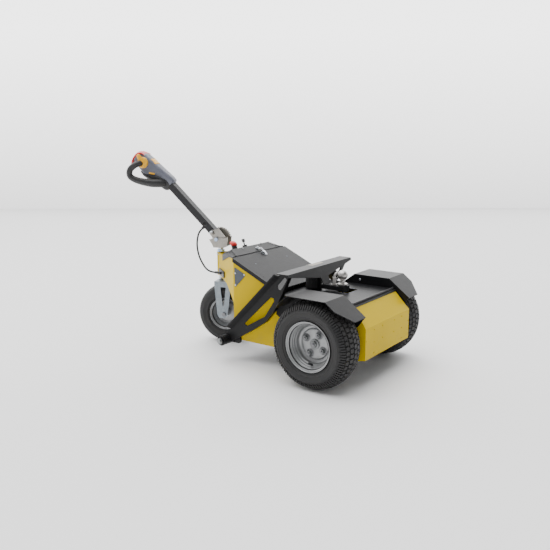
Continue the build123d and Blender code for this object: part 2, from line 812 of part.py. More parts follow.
# Outline of the bracket's wings: distance ahead of the steering axis and height above the bracket's base
bracket_wing = [
    (31, 0),
    (37, 16),
    (55, 43),
    (43, 46),
    (24, 54),
    (12.5, 59),
    (1, 56),
    (-28, 52),
    (-52, 58),
    (-50, 36),
    (-46, 9),
    (-29, 0),
]
with BuildPart() as tiller_bracket:
    with BuildSketch(steered_side(bracket_outer)):
        with BuildLine():
            Polyline(*[(ahead, bracket_low_z + rise) for ahead, rise in bracket_wing], close=True)
        make_face()
    extrude(amount=2 * bracket_outer)
    with BuildSketch(steered_side(bracket_inner)):
        with Locations((0, bracket_low_z + bracket_sheet + bracket_reach / 2)):
            Rectangle(2 * bracket_reach, bracket_reach)
    extrude(amount=2 * bracket_inner, mode=Mode.SUBTRACT)
    with BuildSketch(steered_side(bracket_outer)):
        with Locations((pivot_ahead, pivot_z)):
            Circle(pivot_radius + seat)
    extrude(amount=2 * bracket_outer, mode=Mode.SUBTRACT)
tiller_bracket.part.label = "tiller_bracket"
export_step(tiller_bracket.part, "parts/tiller_bracket.step")

# Toothed quadrant that holds the tiller's tilt, outside the right-hand wing
quadrant_radius = 60
quadrant_root = 56
quadrant_sheet = 5
tooth_count = 30
tooth_cut = 2.6
quadrant_margin = 14
with BuildPart() as quadrant:
    with BuildSketch(steered_side(-bracket_outer)):
        with Locations((pivot_ahead, pivot_z)):
            Circle(quadrant_radius)
            with PolarLocations(quadrant_radius, tooth_count):
                Rectangle(2 * (quadrant_radius - quadrant_root), 2 * tooth_cut, mode=Mode.SUBTRACT)
            Circle(pivot_radius + seat, mode=Mode.SUBTRACT)
        with BuildLine():
            Polyline(
                (pivot_ahead - quadrant_radius, pivot_z - quadrant_radius - quadrant_margin),
                (pivot_ahead + quadrant_radius + quadrant_margin, pivot_z + quadrant_radius),
                (pivot_ahead + 2 * quadrant_radius, pivot_z - 2 * quadrant_radius),
                close=True,
            )
        make_face(mode=Mode.SUBTRACT)
    extrude(amount=quadrant_sheet)
quadrant.part.label = "quadrant"
export_step(quadrant.part, "parts/quadrant.step")

# Pivot bolt of the tiller
pivot_head_radius = 11
pivot_head_length = 7
pivot_far = bracket_outer + quadrant_sheet
with BuildPart() as pivot_bolt:
    with BuildSketch(steered_side(bracket_outer + pivot_head_length)):
        with Locations((pivot_ahead, pivot_z)):
            Circle(pivot_radius)
    extrude(amount=bracket_outer + pivot_far + 2 * pivot_head_length)
    for face in (bracket_outer + pivot_head_length, -pivot_far):
        with BuildSketch(steered_side(face)):
            with Locations((pivot_ahead, pivot_z)):
                RegularPolygon(pivot_head_radius, 6)
        extrude(amount=pivot_head_length)
pivot_bolt.part.label = "pivot_bolt"
export_step(pivot_bolt.part, "parts/pivot_bolt.step")

# Tiller, in its own frame: distances run from the pivot along the tube, across it to the left, and square to both
lean = (cos(radians(tiller_angle)), 0, sin(radians(tiller_angle)))
rise = (-sin(radians(tiller_angle)), 0, cos(radians(tiller_angle)))
tiller_origin = Vector(pivot_ahead, 0, pivot_z)


def tiller_across(along):
    """Plane square to the tube: x to the left, y square to the tube and upwards."""
    origin = tiller_origin + Vector(*lean) * along
    return steered(Plane(origin=origin, x_dir=(0, 1, 0), z_dir=lean))


def tiller_side(offset):
    """Plane along the tube, offset to the left: x along the tube, y square to it and upwards."""
    origin = tiller_origin + Vector(0, offset, 0)
    return steered(Plane(origin=origin, x_dir=lean, z_dir=(0, -1, 0)))


tiller_foot = 14
head_foot = 390
tube_wall = 3
with BuildPart() as tiller_tube:
    with BuildSketch(tiller_across(-tiller_foot)):
        with Locations((0, tiller_offset)):
            Rectangle(tiller_width, tiller_depth)
            Rectangle(tiller_width - 2 * tube_wall, tiller_depth - 2 * tube_wall, mode=Mode.SUBTRACT)
    extrude(amount=head_foot + tiller_foot)
    with BuildSketch(tiller_side(tiller_width)):
        Circle(pivot_radius + seat)
    extrude(amount=2 * tiller_width, mode=Mode.SUBTRACT)
tiller_tube.part.label = "tiller_tube"
export_step(tiller_tube.part, "parts/tiller_tube.step")

# Cheeks welded to the tube's sides, the left one with the lock pin
# Outline: distance along the tube from the pivot and rise square to it
tiller_cheek = [
    (36, 48),
    (-25, 46),
    (-22, 35),
    (-25, 8),
    (-16, -14),
    (0, -20),
    (16, -14),
    (34, -10),
    (54, -8),
    (56, 14),
    (46, 26),
]
lock_along = 40
lock_rise = 4
lock_radius = 11
lock_length = 8
lock_head_radius = 7
cheek_outer = tiller_width / 2 + seat + tiller_cheek_sheet
for side, face in (("left", cheek_outer), ("right", -tiller_width / 2 - seat)):
    with BuildPart() as tiller_cheek_plate:
        with BuildSketch(tiller_side(face)):
            with BuildLine():
                Polyline(*tiller_cheek, close=True)
            make_face()
            Circle(pivot_radius + seat, mode=Mode.SUBTRACT)
        extrude(amount=tiller_cheek_sheet)
        if side == "left":
            for radius, length in ((lock_radius, lock_length), (lock_head_radius, 2 * lock_length)):
                with BuildSketch(tiller_side(face + length)):
                    with Locations((lock_along, lock_rise)):
                        Circle(radius)
                extrude(amount=length)
    tiller_cheek_plate.part.label = f"tiller_cheek_{side}"
    export_step(tiller_cheek_plate.part, f"parts/tiller_cheek_{side}.step")

# Gland under the tube, where the cable comes out
gland_along = 100
gland_left = 12
gland_length = 14
gland_radius = 8
tube_low = tiller_offset - tiller_depth / 2
gland_low = tube_low - seat - gland_length
with BuildPart() as cable_gland:
    with BuildSketch(steered(Plane(
        origin=tiller_origin + Vector(*lean) * gland_along + Vector(*rise) * gland_low + Vector(0, gland_left, 0),
        x_dir=(0, 1, 0),
        z_dir=rise,
    ))):
        Circle(gland_radius)
    extrude(amount=gland_length)
cable_gland.part.label = "cable_gland"
export_step(cable_gland.part, "parts/cable_gland.step")

# Head: sections square to the tube
# Columns: distance along the tube from the head's foot, half-width, lowest and highest place
housing_sections = [
    (0, 27, 10, 54),
    (60, 33, -8, 51),
    (135, 46, -42, 40),
    (210, 51, -62, 32),
    (240, 46, -66, 22),
]
underside_sections = [
    (0, 25, -32, 16),
    (50, 32, -44, 0),
    (135, 42, -62, -36),
]
head_round = 10


with BuildPart() as head_housing:
    for along, half, low, high in housing_sections:
        with BuildSketch(tiller_across(head_foot + along)):
            with Locations((0, (low + high) / 2)):
                RectangleRounded(2 * half, high - low, head_round)
    loft(ruled=True)
head_housing.part.label = "head_housing"
export_step(head_housing.part, "parts/head_housing.step")
with BuildPart() as head_underside:
    for along, half, low, high in underside_sections:
        with BuildSketch(tiller_across(head_foot + along)):
            with Locations((0, (low + high) / 2)):
                RectangleRounded(2 * half, high - low, head_round / 2)
    loft(ruled=True)
    add(head_housing.part, mode=Mode.SUBTRACT)
head_underside.part.label = "head_underside"
export_step(head_underside.part, "parts/head_underside.step")

# Red safety button across the end of the head
button_ahead = 240
button_along = head_foot + button_ahead
button_half = 50
button_low = -72
button_high = 24
button_depth = 12
button_round = 34
with BuildPart() as belly_button:
    with BuildSketch(tiller_across(button_along)):
        with Locations((0, (button_low + button_high) / 2)):
            RectangleRounded(2 * button_half, button_high - button_low, button_round)
    extrude(amount=button_depth)
belly_button.part.label = "belly_button"
export_step(belly_button.part, "parts/belly_button.step")

# Thumb rotors at the root of each grip
rotor_ahead = 188
rotor_along = head_foot + rotor_ahead
rotor_rise = -14
rotor_radius = 22
rotor_near = 53
rotor_far = 68
rotor_lobe_length = 36
rotor_lobe_width = 20
with BuildPart() as thumb_rotor_left:
    with BuildSketch(tiller_side(rotor_far)):
        with Locations((rotor_along, rotor_rise)):
            Circle(rotor_radius)
        with Locations(Location((rotor_along + rotor_lobe_length / 2, rotor_rise + rotor_lobe_width / 2), (0, 0, steer_angle))):
            SlotOverall(rotor_lobe_length, rotor_lobe_width)
    extrude(amount=rotor_far - rotor_near)
    add(head_housing.part, mode=Mode.SUBTRACT)
thumb_rotor_left.part.label = "thumb_rotor_left"
export_step(thumb_rotor_left.part, "parts/thumb_rotor_left.step")
thumb_rotor_right = mirrored(thumb_rotor_left, about=steered(Plane.XZ))
thumb_rotor_right.part.label = "thumb_rotor_right"
export_step(thumb_rotor_right.part, "parts/thumb_rotor_right.step")

# Grip loops: distance along the tube from the head's foot, rise and offset to the left of each corner
grip_radius = 17.5
grip_route = [
    (188, rotor_rise, rotor_far),
    (196, -24, 92),
    (206, -70, 106),
    (176, -104, 104),
    (122, -86, 88),
    (70, -54, 62),
    (34, -22, 32),
]
grip_corner = 22


def tiller_point(along, up, left):
    local = tiller_origin + Vector(*lean) * along + Vector(*rise) * up + Vector(0, left, 0)
    return (steer_place * Location(local)).position


with BuildPart() as grip_left:
    with BuildLine() as grip_path:
        FilletPolyline(*[tiller_point(head_foot + along, up, left) for along, up, left in grip_route], radius=grip_corner)
    with BuildSketch(Plane(origin=grip_path.line @ 0, z_dir=grip_path.line % 0)):
        Circle(grip_radius)
    sweep()
    for solid in (head_housing.part, head_underside.part, thumb_rotor_left.part):
        add(solid, mode=Mode.SUBTRACT)
grip_left.part.label = "grip_left"
export_step(grip_left.part, "parts/grip_left.step")
grip_right = mirrored(grip_left, about=steered(Plane.XZ))
grip_right.part.label = "grip_right"
export_step(grip_right.part, "parts/grip_right.step")

# Lift frame: two arms from low front pivots up to a beam over the deck
pivot_pin_ahead = 562
pivot_pin_z = 115
arm_sheet = 6
arm_out = 45
arm_outer_y = body_half + arm_out
arm_lip_out = 21
arm_lip_rise = 17
arm_flange = 23
boss_radius = 25
pin_radius = 12
boss_out = 44
beam_top_z = 492
beam_rear = 171
beam_front = 237
beam_out = 66
beam_half = body_half + beam_out
beam_sheet = 4
arm_top_z = beam_top_z - beam_sheet
pin_x = rear_axle_x + pivot_pin_ahead
# Outlines of the arm and its two slots: distance ahead of the rear axle and height
arm_front_edge = [(532, 176.4), (238, 476.3)]
arm_rear_edge = [(183, 474), (220.6, 390.3), (266.6, 303.2), (323.6, 236.8), (426.2, 169.1), (500.6, 125.9)]
arm_outline = [(576, 131.5), *arm_front_edge, (226.5, 488), (188, 488), *arm_rear_edge, (562, 92)]
arm_low_slot = [(287, 367), (268, 365), (266, 351), (320.9, 268.1), (430.9, 202.9), (449, 211.7)]
arm_top_slot = [(204.4, 474.9), (191, 465), (224, 411), (245, 415), (247, 430)]
slot_round = 5
flange_shift = (5.5, 4.5)


def arm_points(outline):
    return [(rear_axle_x + ahead, height) for ahead, height in outline]


arm_edge_low, arm_edge_high = arm_points(arm_front_edge)
arm_fold = arm_points(arm_rear_edge)
with BuildPart() as arm_left:
    with BuildSketch(side_plane(arm_outer_y)):
        with BuildLine():
            Polyline(*arm_points(arm_outline), close=True)
        make_face()
        with Locations((pin_x, pivot_pin_z)):
            Circle(boss_radius)
        for slot in (arm_low_slot, arm_top_slot):
            with BuildLine():
                FilletPolyline(*arm_points(slot), radius=slot_round, close=True)
            make_face(mode=Mode.SUBTRACT)
    extrude(amount=arm_sheet)
    with BuildSketch(side_plane(arm_outer_y - arm_sheet)):
        with BuildLine():
            Polyline(*arm_fold, *[(x + flange_shift[0], z + flange_shift[1]) for x, z in reversed(arm_fold)], close=True)
        make_face()
    extrude(amount=arm_flange)
    with BuildSketch(side_plane(arm_outer_y + boss_out)):
        with Locations((pin_x, pivot_pin_z)):
            Circle(boss_radius)
    extrude(amount=boss_out)
    with BuildSketch(side_plane(arm_outer_y + boss_out)):
        with Locations((pin_x, pivot_pin_z)):
            Circle(pin_radius + seat)
    extrude(amount=boss_out + arm_sheet, mode=Mode.SUBTRACT)
    edge = Vector(arm_edge_high[0] - arm_edge_low[0], 0, arm_edge_high[1] - arm_edge_low[1])
    ahead = Vector(edge.Z, 0, -edge.X).normalized()
    lip_origin = Vector(arm_edge_low[0], arm_outer_y, arm_edge_low[1])
    with BuildSketch(Plane(origin=lip_origin, x_dir=(0, 1, 0), z_dir=edge)):
        with BuildLine():
            Polyline(
                (-arm_sheet, 0),
                (0, 0),
                (arm_lip_out, -arm_lip_rise),
                (arm_lip_out, arm_sheet - arm_lip_rise),
                (0, arm_sheet),
                (-arm_sheet, arm_sheet),
                close=True,
            )
        make_face()
    extrude(amount=edge.length)
arm_left.part.label = "arm_left"
export_step(arm_left.part, "parts/arm_left.step")
arm_right = mirrored(arm_left)
arm_right.part.label = "arm_right"
export_step(arm_right.part, "parts/arm_right.step")

# Beam: a folded plate with a rear face that deepens towards the middle, and a clevis under it for the rod's eye
beam_rear_x = rear_axle_x + beam_rear
beam_front_x = rear_axle_x + beam_front
beam_end_drop = 12
beam_middle_drop = 51
beam_middle_half = 34
beam_tab_half = 30
beam_lean = 0.407
beam_face_turn = sqrt(1 + beam_lean**2)
beam_front_drop = 22
rod_ahead = 213
rod_x = rear_axle_x + rod_ahead
eye_z = 448
eye_half = 8
eye_pin_radius = 6
clevis_sheet = 8
clevis_gap = 3
clevis_half = 14
clevis_near = eye_half + clevis_gap
tongue_top_z = 408
# The leaning rear face: half-width and drop from the top
beam_face = [
    (beam_half, 0),
    (beam_half, beam_end_drop),
    (beam_middle_half, beam_middle_drop),
    (beam_tab_half, beam_top_z - tongue_top_z),
]
with BuildPart() as beam:
    with BuildSketch(Plane.XY.offset(beam_top_z - beam_sheet)):
        with Locations(((beam_rear_x + beam_front_x) / 2, 0)):
            Rectangle(beam_front_x - beam_rear_x, 2 * beam_half)
    extrude(amount=beam_sheet)
    with BuildSketch(Plane(origin=(beam_rear_x, 0, beam_top_z), x_dir=(0, 1, 0), z_dir=(1, 0, -beam_lean))):
        with BuildLine():
            Polyline(
                *[(half, -drop * beam_face_turn) for half, drop in beam_face],
                *[(-half, -drop * beam_face_turn) for half, drop in reversed(beam_face)],
                close=True,
            )
        make_face()
    extrude(amount=beam_sheet)
    with BuildSketch(Plane.XY.offset(beam_top_z - beam_front_drop)):
        with Locations((beam_front_x - beam_sheet / 2, 0)):
            Rectangle(beam_sheet, 2 * (arm_outer_y - arm_sheet))
    extrude(amount=beam_front_drop)
    for arm in (arm_left, arm_right):
        add(arm.part, mode=Mode.SUBTRACT)
    for face in (clevis_near + clevis_sheet, -clevis_near):
        with BuildSketch(side_plane(face)):
            with Locations((rod_x, eye_z)):
                Circle(clevis_half)
            with Locations((rod_x, (eye_z + beam_top_z - beam_sheet) / 2)):
                Rectangle(2 * clevis_half, beam_top_z - beam_sheet - eye_z)
        extrude(amount=clevis_sheet)
    with BuildSketch(side_plane(clevis_near + clevis_sheet)):
        with Locations((rod_x, eye_z)):
            Circle(eye_pin_radius)
    extrude(amount=2 * (clevis_near + clevis_sheet))
beam.part.label = "beam"
export_step(beam.part, "parts/beam.step")

# Tongue: a channel from under the beam to the ball, its end folded down over the deck
ball_behind = 50
tongue_end = 28
tongue_front = 160
tongue_half = 30
tongue_sheet = 6
tongue_drop = 22
tongue_end_drop = 28
tongue_length = tongue_front - tongue_end
tongue_middle_x = rear_axle_x + (tongue_end + tongue_front) / 2
with BuildPart() as tongue:
    with BuildSketch(Plane.XY.offset(tongue_top_z - tongue_drop)):
        with Locations((tongue_middle_x, 0)):
            Rectangle(tongue_length, 2 * tongue_half)
    extrude(amount=tongue_drop)
    with BuildSketch(Plane.XY.offset(tongue_top_z - tongue_drop)):
        with Locations((tongue_middle_x, 0)):
            Rectangle(tongue_length - 2 * tongue_sheet, 2 * tongue_half - 2 * tongue_sheet)
    extrude(amount=tongue_drop - tongue_sheet, mode=Mode.SUBTRACT)
    with BuildSketch(Plane.XY.offset(tongue_top_z - tongue_end_drop)):
        with Locations((rear_axle_x + tongue_end + tongue_sheet / 2, 0)):
            Rectangle(tongue_sheet, 2 * tongue_half)
    extrude(amount=tongue_end_drop)
    add(beam.part, mode=Mode.SUBTRACT)
tongue.part.label = "tongue"
export_step(tongue.part, "parts/tongue.step")

# Tow ball
ball_radius = 25
ball_z = 459
neck_radius = 12
ball_flange_radius = 24
ball_flange_height = 8
ball_x = rear_axle_x + ball_behind
with BuildPart() as tow_ball:
    with BuildSketch(Plane.XY.offset(tongue_top_z)):
        with Locations((ball_x, 0)):
            Circle(ball_flange_radius)
    extrude(amount=ball_flange_height)
    with BuildSketch(Plane.XY.offset(tongue_top_z)):
        with Locations((ball_x, 0)):
            Circle(neck_radius)
    extrude(amount=ball_z - tongue_top_z)
    with Locations((ball_x, 0, ball_z)):
        Sphere(ball_radius)
tow_ball.part.label = "tow_ball"
export_step(tow_ball.part, "parts/tow_ball.step")

# Lift actuator: barrel and rod in line under the beam, and a rubber boot that the beam carries
rod_radius = 10
barrel_radius = 24
barrel_pivot_z = 160
barrel_top_z = 345
barrel_bore_low_z = 185
rod_low_z = 190
eye_radius = 12
eye_play = 2
with BuildPart() as lift_barrel:
    with BuildSketch(Plane.XY.offset(barrel_pivot_z)):
        with Locations((rod_x, 0)):
            Circle(barrel_radius)
    extrude(amount=barrel_top_z - barrel_pivot_z)
    with BuildSketch(side_plane(barrel_radius)):
        with Locations((rod_x, barrel_pivot_z)):
            Circle(barrel_radius)
    extrude(amount=2 * barrel_radius)
    with BuildSketch(Plane.XY.offset(barrel_bore_low_z)):
        with Locations((rod_x, 0)):
            Circle(rod_radius + seat)
    extrude(amount=barrel_top_z - barrel_bore_low_z, mode=Mode.SUBTRACT)
    with BuildSketch(side_plane(barrel_radius)):
        with Locations((rod_x, barrel_pivot_z)):
            Circle(eye_pin_radius + seat)
    extrude(amount=2 * barrel_radius, mode=Mode.SUBTRACT)
lift_barrel.part.label = "lift_barrel"
export_step(lift_barrel.part, "parts/lift_barrel.step")
with BuildPart() as lift_rod:
    with BuildSketch(Plane.XY.offset(rod_low_z)):
        with Locations((rod_x, 0)):
            Circle(rod_radius)
    extrude(amount=eye_z - rod_low_z)
    with BuildSketch(side_plane(eye_half)):
        with Locations((rod_x, eye_z)):
            Circle(eye_radius)
    extrude(amount=2 * eye_half)
    with BuildSketch(side_plane(rod_radius)):
        with Locations((rod_x, eye_z)):
            Circle(eye_pin_radius + eye_play)
    extrude(amount=2 * rod_radius, mode=Mode.SUBTRACT)
lift_rod.part.label = "lift_rod"
export_step(lift_rod.part, "parts/lift_rod.step")

# Trunnion of the barrel, on the floor pan
trunnion_sheet = 8
trunnion_half = 16
with BuildPart() as lift_trunnion:
    for side in (1, -1):
        near = barrel_radius + clevis_gap
        with BuildSketch(side_plane(near + trunnion_sheet if side > 0 else -near)):
            with Locations((rod_x, barrel_pivot_z)):
                Circle(trunnion_half)
            with Locations((rod_x, (barrel_pivot_z + body_floor_z + panel_sheet) / 2)):
                Rectangle(2 * trunnion_half, barrel_pivot_z - body_floor_z - panel_sheet)
        extrude(amount=trunnion_sheet)
    with BuildSketch(side_plane(barrel_radius + clevis_gap + trunnion_sheet)):
        with Locations((rod_x, barrel_pivot_z)):
            Circle(eye_pin_radius)
    extrude(amount=2 * (barrel_radius + clevis_gap + trunnion_sheet))
lift_trunnion.part.label = "lift_trunnion"
export_step(lift_trunnion.part, "parts/lift_trunnion.step")

# Boot that hangs around the rod's eye
boot_radius = 41
boot_wall = 4
boot_low_z = 380
with BuildPart() as lift_boot:
    with BuildSketch(Plane.XY.offset(boot_low_z)):
        with Locations((rod_x, 0)):
            Circle(boot_radius)
            Circle(boot_radius - boot_wall, mode=Mode.SUBTRACT)
    extrude(amount=beam_top_z - beam_sheet - boot_low_z)
    add(beam.part, mode=Mode.SUBTRACT)
lift_boot.part.label = "lift_boot"
export_step(lift_boot.part, "parts/lift_boot.step")

# Pivot brackets on the body's lower front corners, each with its pin and bolt head
pivot_plate_back = 60
pivot_plate_front = 28
pivot_plate_half = 24
pivot_plate_thick = 12
pin_bolt_radius = 17
pin_bolt_length = 9
pin_end_y = arm_outer_y + boss_out + seat + pin_bolt_length
plate_outer_y = body_half + pivot_plate_thick
with BuildPart() as pivot_bracket_left:
    with BuildSketch(side_plane(plate_outer_y)):
        with Locations((pin_x + (pivot_plate_front - pivot_plate_back) / 2, pivot_pin_z)):
            RectangleRounded(pivot_plate_front + pivot_plate_back, 2 * pivot_plate_half, pivot_plate_thick)
    extrude(amount=pivot_plate_thick)
    with BuildSketch(side_plane(pin_end_y)):
        with Locations((pin_x, pivot_pin_z)):
            Circle(pin_radius)
    extrude(amount=pin_end_y - plate_outer_y)
    with BuildSketch(side_plane(arm_outer_y - arm_sheet - seat)):
        with Locations((pin_x, pivot_pin_z)):
            Circle(boss_radius)
    extrude(amount=arm_outer_y - arm_sheet - seat - plate_outer_y)
    with BuildSketch(side_plane(pin_end_y)):
        with Locations((pin_x, pivot_pin_z)):
            Circle(pin_bolt_radius)
    extrude(amount=pin_bolt_length)
pivot_bracket_left.part.label = "pivot_bracket_left"
export_step(pivot_bracket_left.part, "parts/pivot_bracket_left.step")
pivot_bracket_right = mirrored(pivot_bracket_left)
pivot_bracket_right.part.label = "pivot_bracket_right"
export_step(pivot_bracket_right.part, "parts/pivot_bracket_right.step")

# Cable from the tiller to the socket, in two stretches that meet beside the steering stem
cable_radius = 5
cable_lead = 24
sleeve_lead = 31
# Distance ahead of the rear axle, to the left, and height
cable_upper_route = [(933, 56, 586), (935, 63, 555), (929, 71, 526), (919, 78, 509)]
cable_lower_route = [(919, 78, 509), (911, 83.6, 495.4), (889, 92, 462), (850, 95, 416.5)]
bend_share = 0.45


def route_point(ahead, left, height):
    return Vector(rear_axle_x + ahead, left, height)


def make_cable(points):
    """A round tube along straight runs joined by tangent arcs, each as large as its two runs allow."""
    runs = [after - before for before, after in zip(points, points[1:])]
    radii = []
    for before, after in zip(runs, runs[1:]):
        half_turn = radians(before.get_angle(after)) / 2
        radii.append(bend_share * min(before.length, after.length) / tan(half_turn))
    with BuildPart() as cable:
        with BuildLine() as path:
            FilletPolyline(*points, radius=radii)
        with BuildSketch(Plane(origin=path.line @ 0, z_dir=path.line % 0)):
            Circle(cable_radius)
        sweep()
    length = sum(edge.length for edge in path.edges())
    print("radii", [round(radius) for radius in radii], "length", round(length))
    print("volume over section times length", cable.part.volume / (pi * cable_radius**2 * length))
    return cable


sleeve_end = sleeve_root + sleeve_dir * sleeve_length
cable_upper = make_cable(
    [
        tiller_point(gland_along, gland_low, gland_left),
        tiller_point(gland_along, gland_low - cable_lead, gland_left),
        *[route_point(*place) for place in cable_upper_route],
    ]
)
cable_upper.part.label = "cable_upper"
export_step(cable_upper.part, "parts/cable_upper.step")
cable_lower = make_cable(
    [
        *[route_point(*place) for place in cable_lower_route],
        sleeve_end + sleeve_dir * sleeve_lead,
        sleeve_end,
    ]
)
cable_lower.part.label = "cable_lower"
export_step(cable_lower.part, "parts/cable_lower.step")
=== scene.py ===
from math import atan2, cos, pi, radians, sin

import bmesh
import bpy
from mathutils import Matrix, Vector


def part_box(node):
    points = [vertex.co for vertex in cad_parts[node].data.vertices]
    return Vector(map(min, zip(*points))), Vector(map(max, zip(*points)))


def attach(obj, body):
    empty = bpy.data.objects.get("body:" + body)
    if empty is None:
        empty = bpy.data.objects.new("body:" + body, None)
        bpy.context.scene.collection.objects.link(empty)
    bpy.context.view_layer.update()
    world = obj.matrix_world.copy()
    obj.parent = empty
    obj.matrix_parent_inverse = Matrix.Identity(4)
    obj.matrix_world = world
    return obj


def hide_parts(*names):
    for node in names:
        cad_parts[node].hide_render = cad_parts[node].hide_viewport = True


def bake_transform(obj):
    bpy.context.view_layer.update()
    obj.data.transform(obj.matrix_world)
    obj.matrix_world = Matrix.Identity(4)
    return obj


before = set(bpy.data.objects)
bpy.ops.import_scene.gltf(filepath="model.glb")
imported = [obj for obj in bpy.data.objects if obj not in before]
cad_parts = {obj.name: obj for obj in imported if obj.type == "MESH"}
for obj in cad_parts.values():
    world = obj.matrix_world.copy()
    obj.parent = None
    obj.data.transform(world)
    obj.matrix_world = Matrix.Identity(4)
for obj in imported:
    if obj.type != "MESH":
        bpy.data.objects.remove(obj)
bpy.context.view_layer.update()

# Driving sizes, in metres and radians, in the frame of the CAD model
rear_low, rear_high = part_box("tyre_left")
rear_axle = (rear_low + rear_high) / 2
rear_radius = (rear_high.z - rear_low.z) / 2
rear_width = 0.16
wheel_base = 0.819
steer_x = rear_axle.x + wheel_base
steer_angle = radians(20)
tiller_angle = radians(45.7)
pivot_ahead = 0.0125
pivot_z = 0.569
front_trail = 0.036
front_radius = 0.162
front_width = 0.108
body_half = 0.219
fold_x = rear_axle.x + 0.55
nose_tip_half = 0.021
nose_slope = (body_half - nose_tip_half) / (steer_x - fold_x)
hood_slope = radians(24.2)
hood_front_ahead = 0.551
hood_front_z = 0.523
deck_top = 0.375
# Each side's name and the sign of its Y
sides = (("left", 1), ("right", -1))


def add_object(name, data):
    made = bpy.data.objects.new(name, data)
    bpy.context.scene.collection.objects.link(made)
    return made


# Camera at the photograph's place
view_from = Vector((rear_axle.x - 1.5468, 2.7251, 1.1183))
view_azimuth = radians(53.984)
view_elevation = radians(11.267)
view_roll = radians(0.0965)
focal_pixels = 667.586
photo_pixels = 550
photo_centre = (277.98, 268.56)
sensor = 36.0
level = cos(view_elevation)
ahead = Vector((cos(view_azimuth) * level, -sin(view_azimuth) * level, -sin(view_elevation)))
camera_data = bpy.data.cameras.new("camera")
camera_data.sensor_width = sensor
camera_data.lens = focal_pixels / photo_pixels * sensor
camera_data.shift_x = (photo_pixels / 2 - photo_centre[0]) / photo_pixels
camera_data.shift_y = (photo_centre[1] - photo_pixels / 2) / photo_pixels
camera_data.clip_end = 60
camera = add_object("camera", camera_data)
camera.location = view_from
camera.rotation_mode = "QUATERNION"
roll = Matrix.Rotation(-view_roll, 3, "Z").to_quaternion()
camera.rotation_quaternion = ahead.to_track_quat("-Z", "Y") @ roll
bpy.context.scene.camera = camera


# Shader kit
class Socket:
    """An output socket: arithmetic on it adds Math nodes to its finish."""

    def __init__(self, finish, out):
        self.finish = finish
        self.out = out

    def calc(self, operation, first, second):
        return self.finish.node("Math", {"operation": operation}, {0: first, 1: second})

    def __add__(self, other):
        return self.calc("ADD", self, other)

    def __sub__(self, other):
        return self.calc("SUBTRACT", self, other)

    def __mul__(self, other):
        return self.calc("MULTIPLY", self, other)

    def __radd__(self, other):
        return self.calc("ADD", other, self)

    def __rsub__(self, other):
        return self.calc("SUBTRACT", other, self)

    def __rmul__(self, other):
        return self.calc("MULTIPLY", other, self)


class Finish:
    """One material, built node by node."""

    def __init__(self, name):
        self.material = bpy.data.materials.new(name)
        self.material.use_nodes = True
        self.tree = self.material.node_tree
        self.tree.nodes.clear()

    def node(self, kind, settings=None, values=None, output=0):
        made = self.tree.nodes.new("ShaderNode" + kind)
        for name, value in (settings or {}).items():
            setattr(made, name, value)
        for name, value in (values or {}).items():
            if isinstance(value, Socket):
                self.tree.links.new(value.out, made.inputs[name])
            else:
                made.inputs[name].default_value = value
        return Socket(self, made.outputs[output])

    def place(self):
        """Object coordinates."""
        return self.node("TexCoord", output=3)

    def height(self):
        return self.node("SeparateXYZ", None, {0: self.place()}, output=2)

    def noise(self, scale, detail=3.0, roughness=0.5, stretch=(1, 1, 1)):
        spot = self.node("Mapping", None, {0: self.place(), 3: stretch})
        values = {"Vector": spot, "Scale": scale, "Detail": detail, "Roughness": roughness}
        return self.node("TexNoise", None, values)

    def ramp(self, value, low, high):
        """0 below low, 1 above high, straight between."""
        return self.node("MapRange", {"clamp": True}, {0: value, 1: low, 2: high, 3: 0.0, 4: 1.0})

    def mix(self, factor, first, second):
        """Two colours; the node keeps its colour sockets at 6 and 7."""
        return self.node("Mix", {"data_type": "RGBA"}, {0: factor, 6: first, 7: second}, output=2)

    def surface(self, colour, roughness, relief=None, **values):
        """The shader itself; relief is a height with the strength and the distance of its bump."""
        named = {name.replace("_", " "): value for name, value in values.items()}
        if relief:
            bump = dict(zip(("Height", "Strength", "Distance"), relief))
            named["Normal"] = self.node("Bump", None, bump)
        shader = self.node("BsdfPrincipled", None, {"Base Color": colour, "Roughness": roughness, **named})
        output = self.tree.nodes.new("ShaderNodeOutputMaterial")
        self.tree.links.new(shader.out, output.inputs["Surface"])
        return self.material


def rgb(red, green, blue):
    return (red, green, blue, 1.0)


# Finishes
def gloss_paint(name, colour, shade, roughness):
    """Stove enamel on sheet steel: slight orange peel, a little road dust low down."""
    paint = Finish(name)
    cloud = paint.noise(5.0, 4.0)
    peel = paint.noise(260.0, 2.0)
    specks = paint.ramp(paint.noise(38.0, 5.0, 0.7), 0.45, 0.75)
    dust = (1 - paint.ramp(paint.height(), 0.1, 0.26)) * specks * 0.22
    tint = paint.mix(paint.ramp(cloud, 0.35, 0.65), colour, shade)
    dusty = paint.mix(dust, tint, rgb(0.38, 0.3, 0.16))
    rough = roughness + paint.noise(24.0, 3.0) * 0.08 + dust * 0.5
    return paint.surface(dusty, rough, (peel, 0.1, 0.0006), Specular_IOR_Level=0.05)


def powder_coat(name, colour, roughness):
    """Fine textured powder coat with soft scuffs."""
    coat = Finish(name)
    grain = coat.noise(1500.0, 2.0)
    scuff = coat.ramp(coat.noise(16.0, 6.0, 0.7), 0.55, 0.8)
    tint = coat.mix(scuff * 0.25, colour, rgb(0.03, 0.03, 0.032))
    rough = roughness + coat.noise(60.0, 3.0) * 0.1
    return coat.surface(tint, rough, (grain, 0.16, 0.0004), Specular_IOR_Level=0.18)


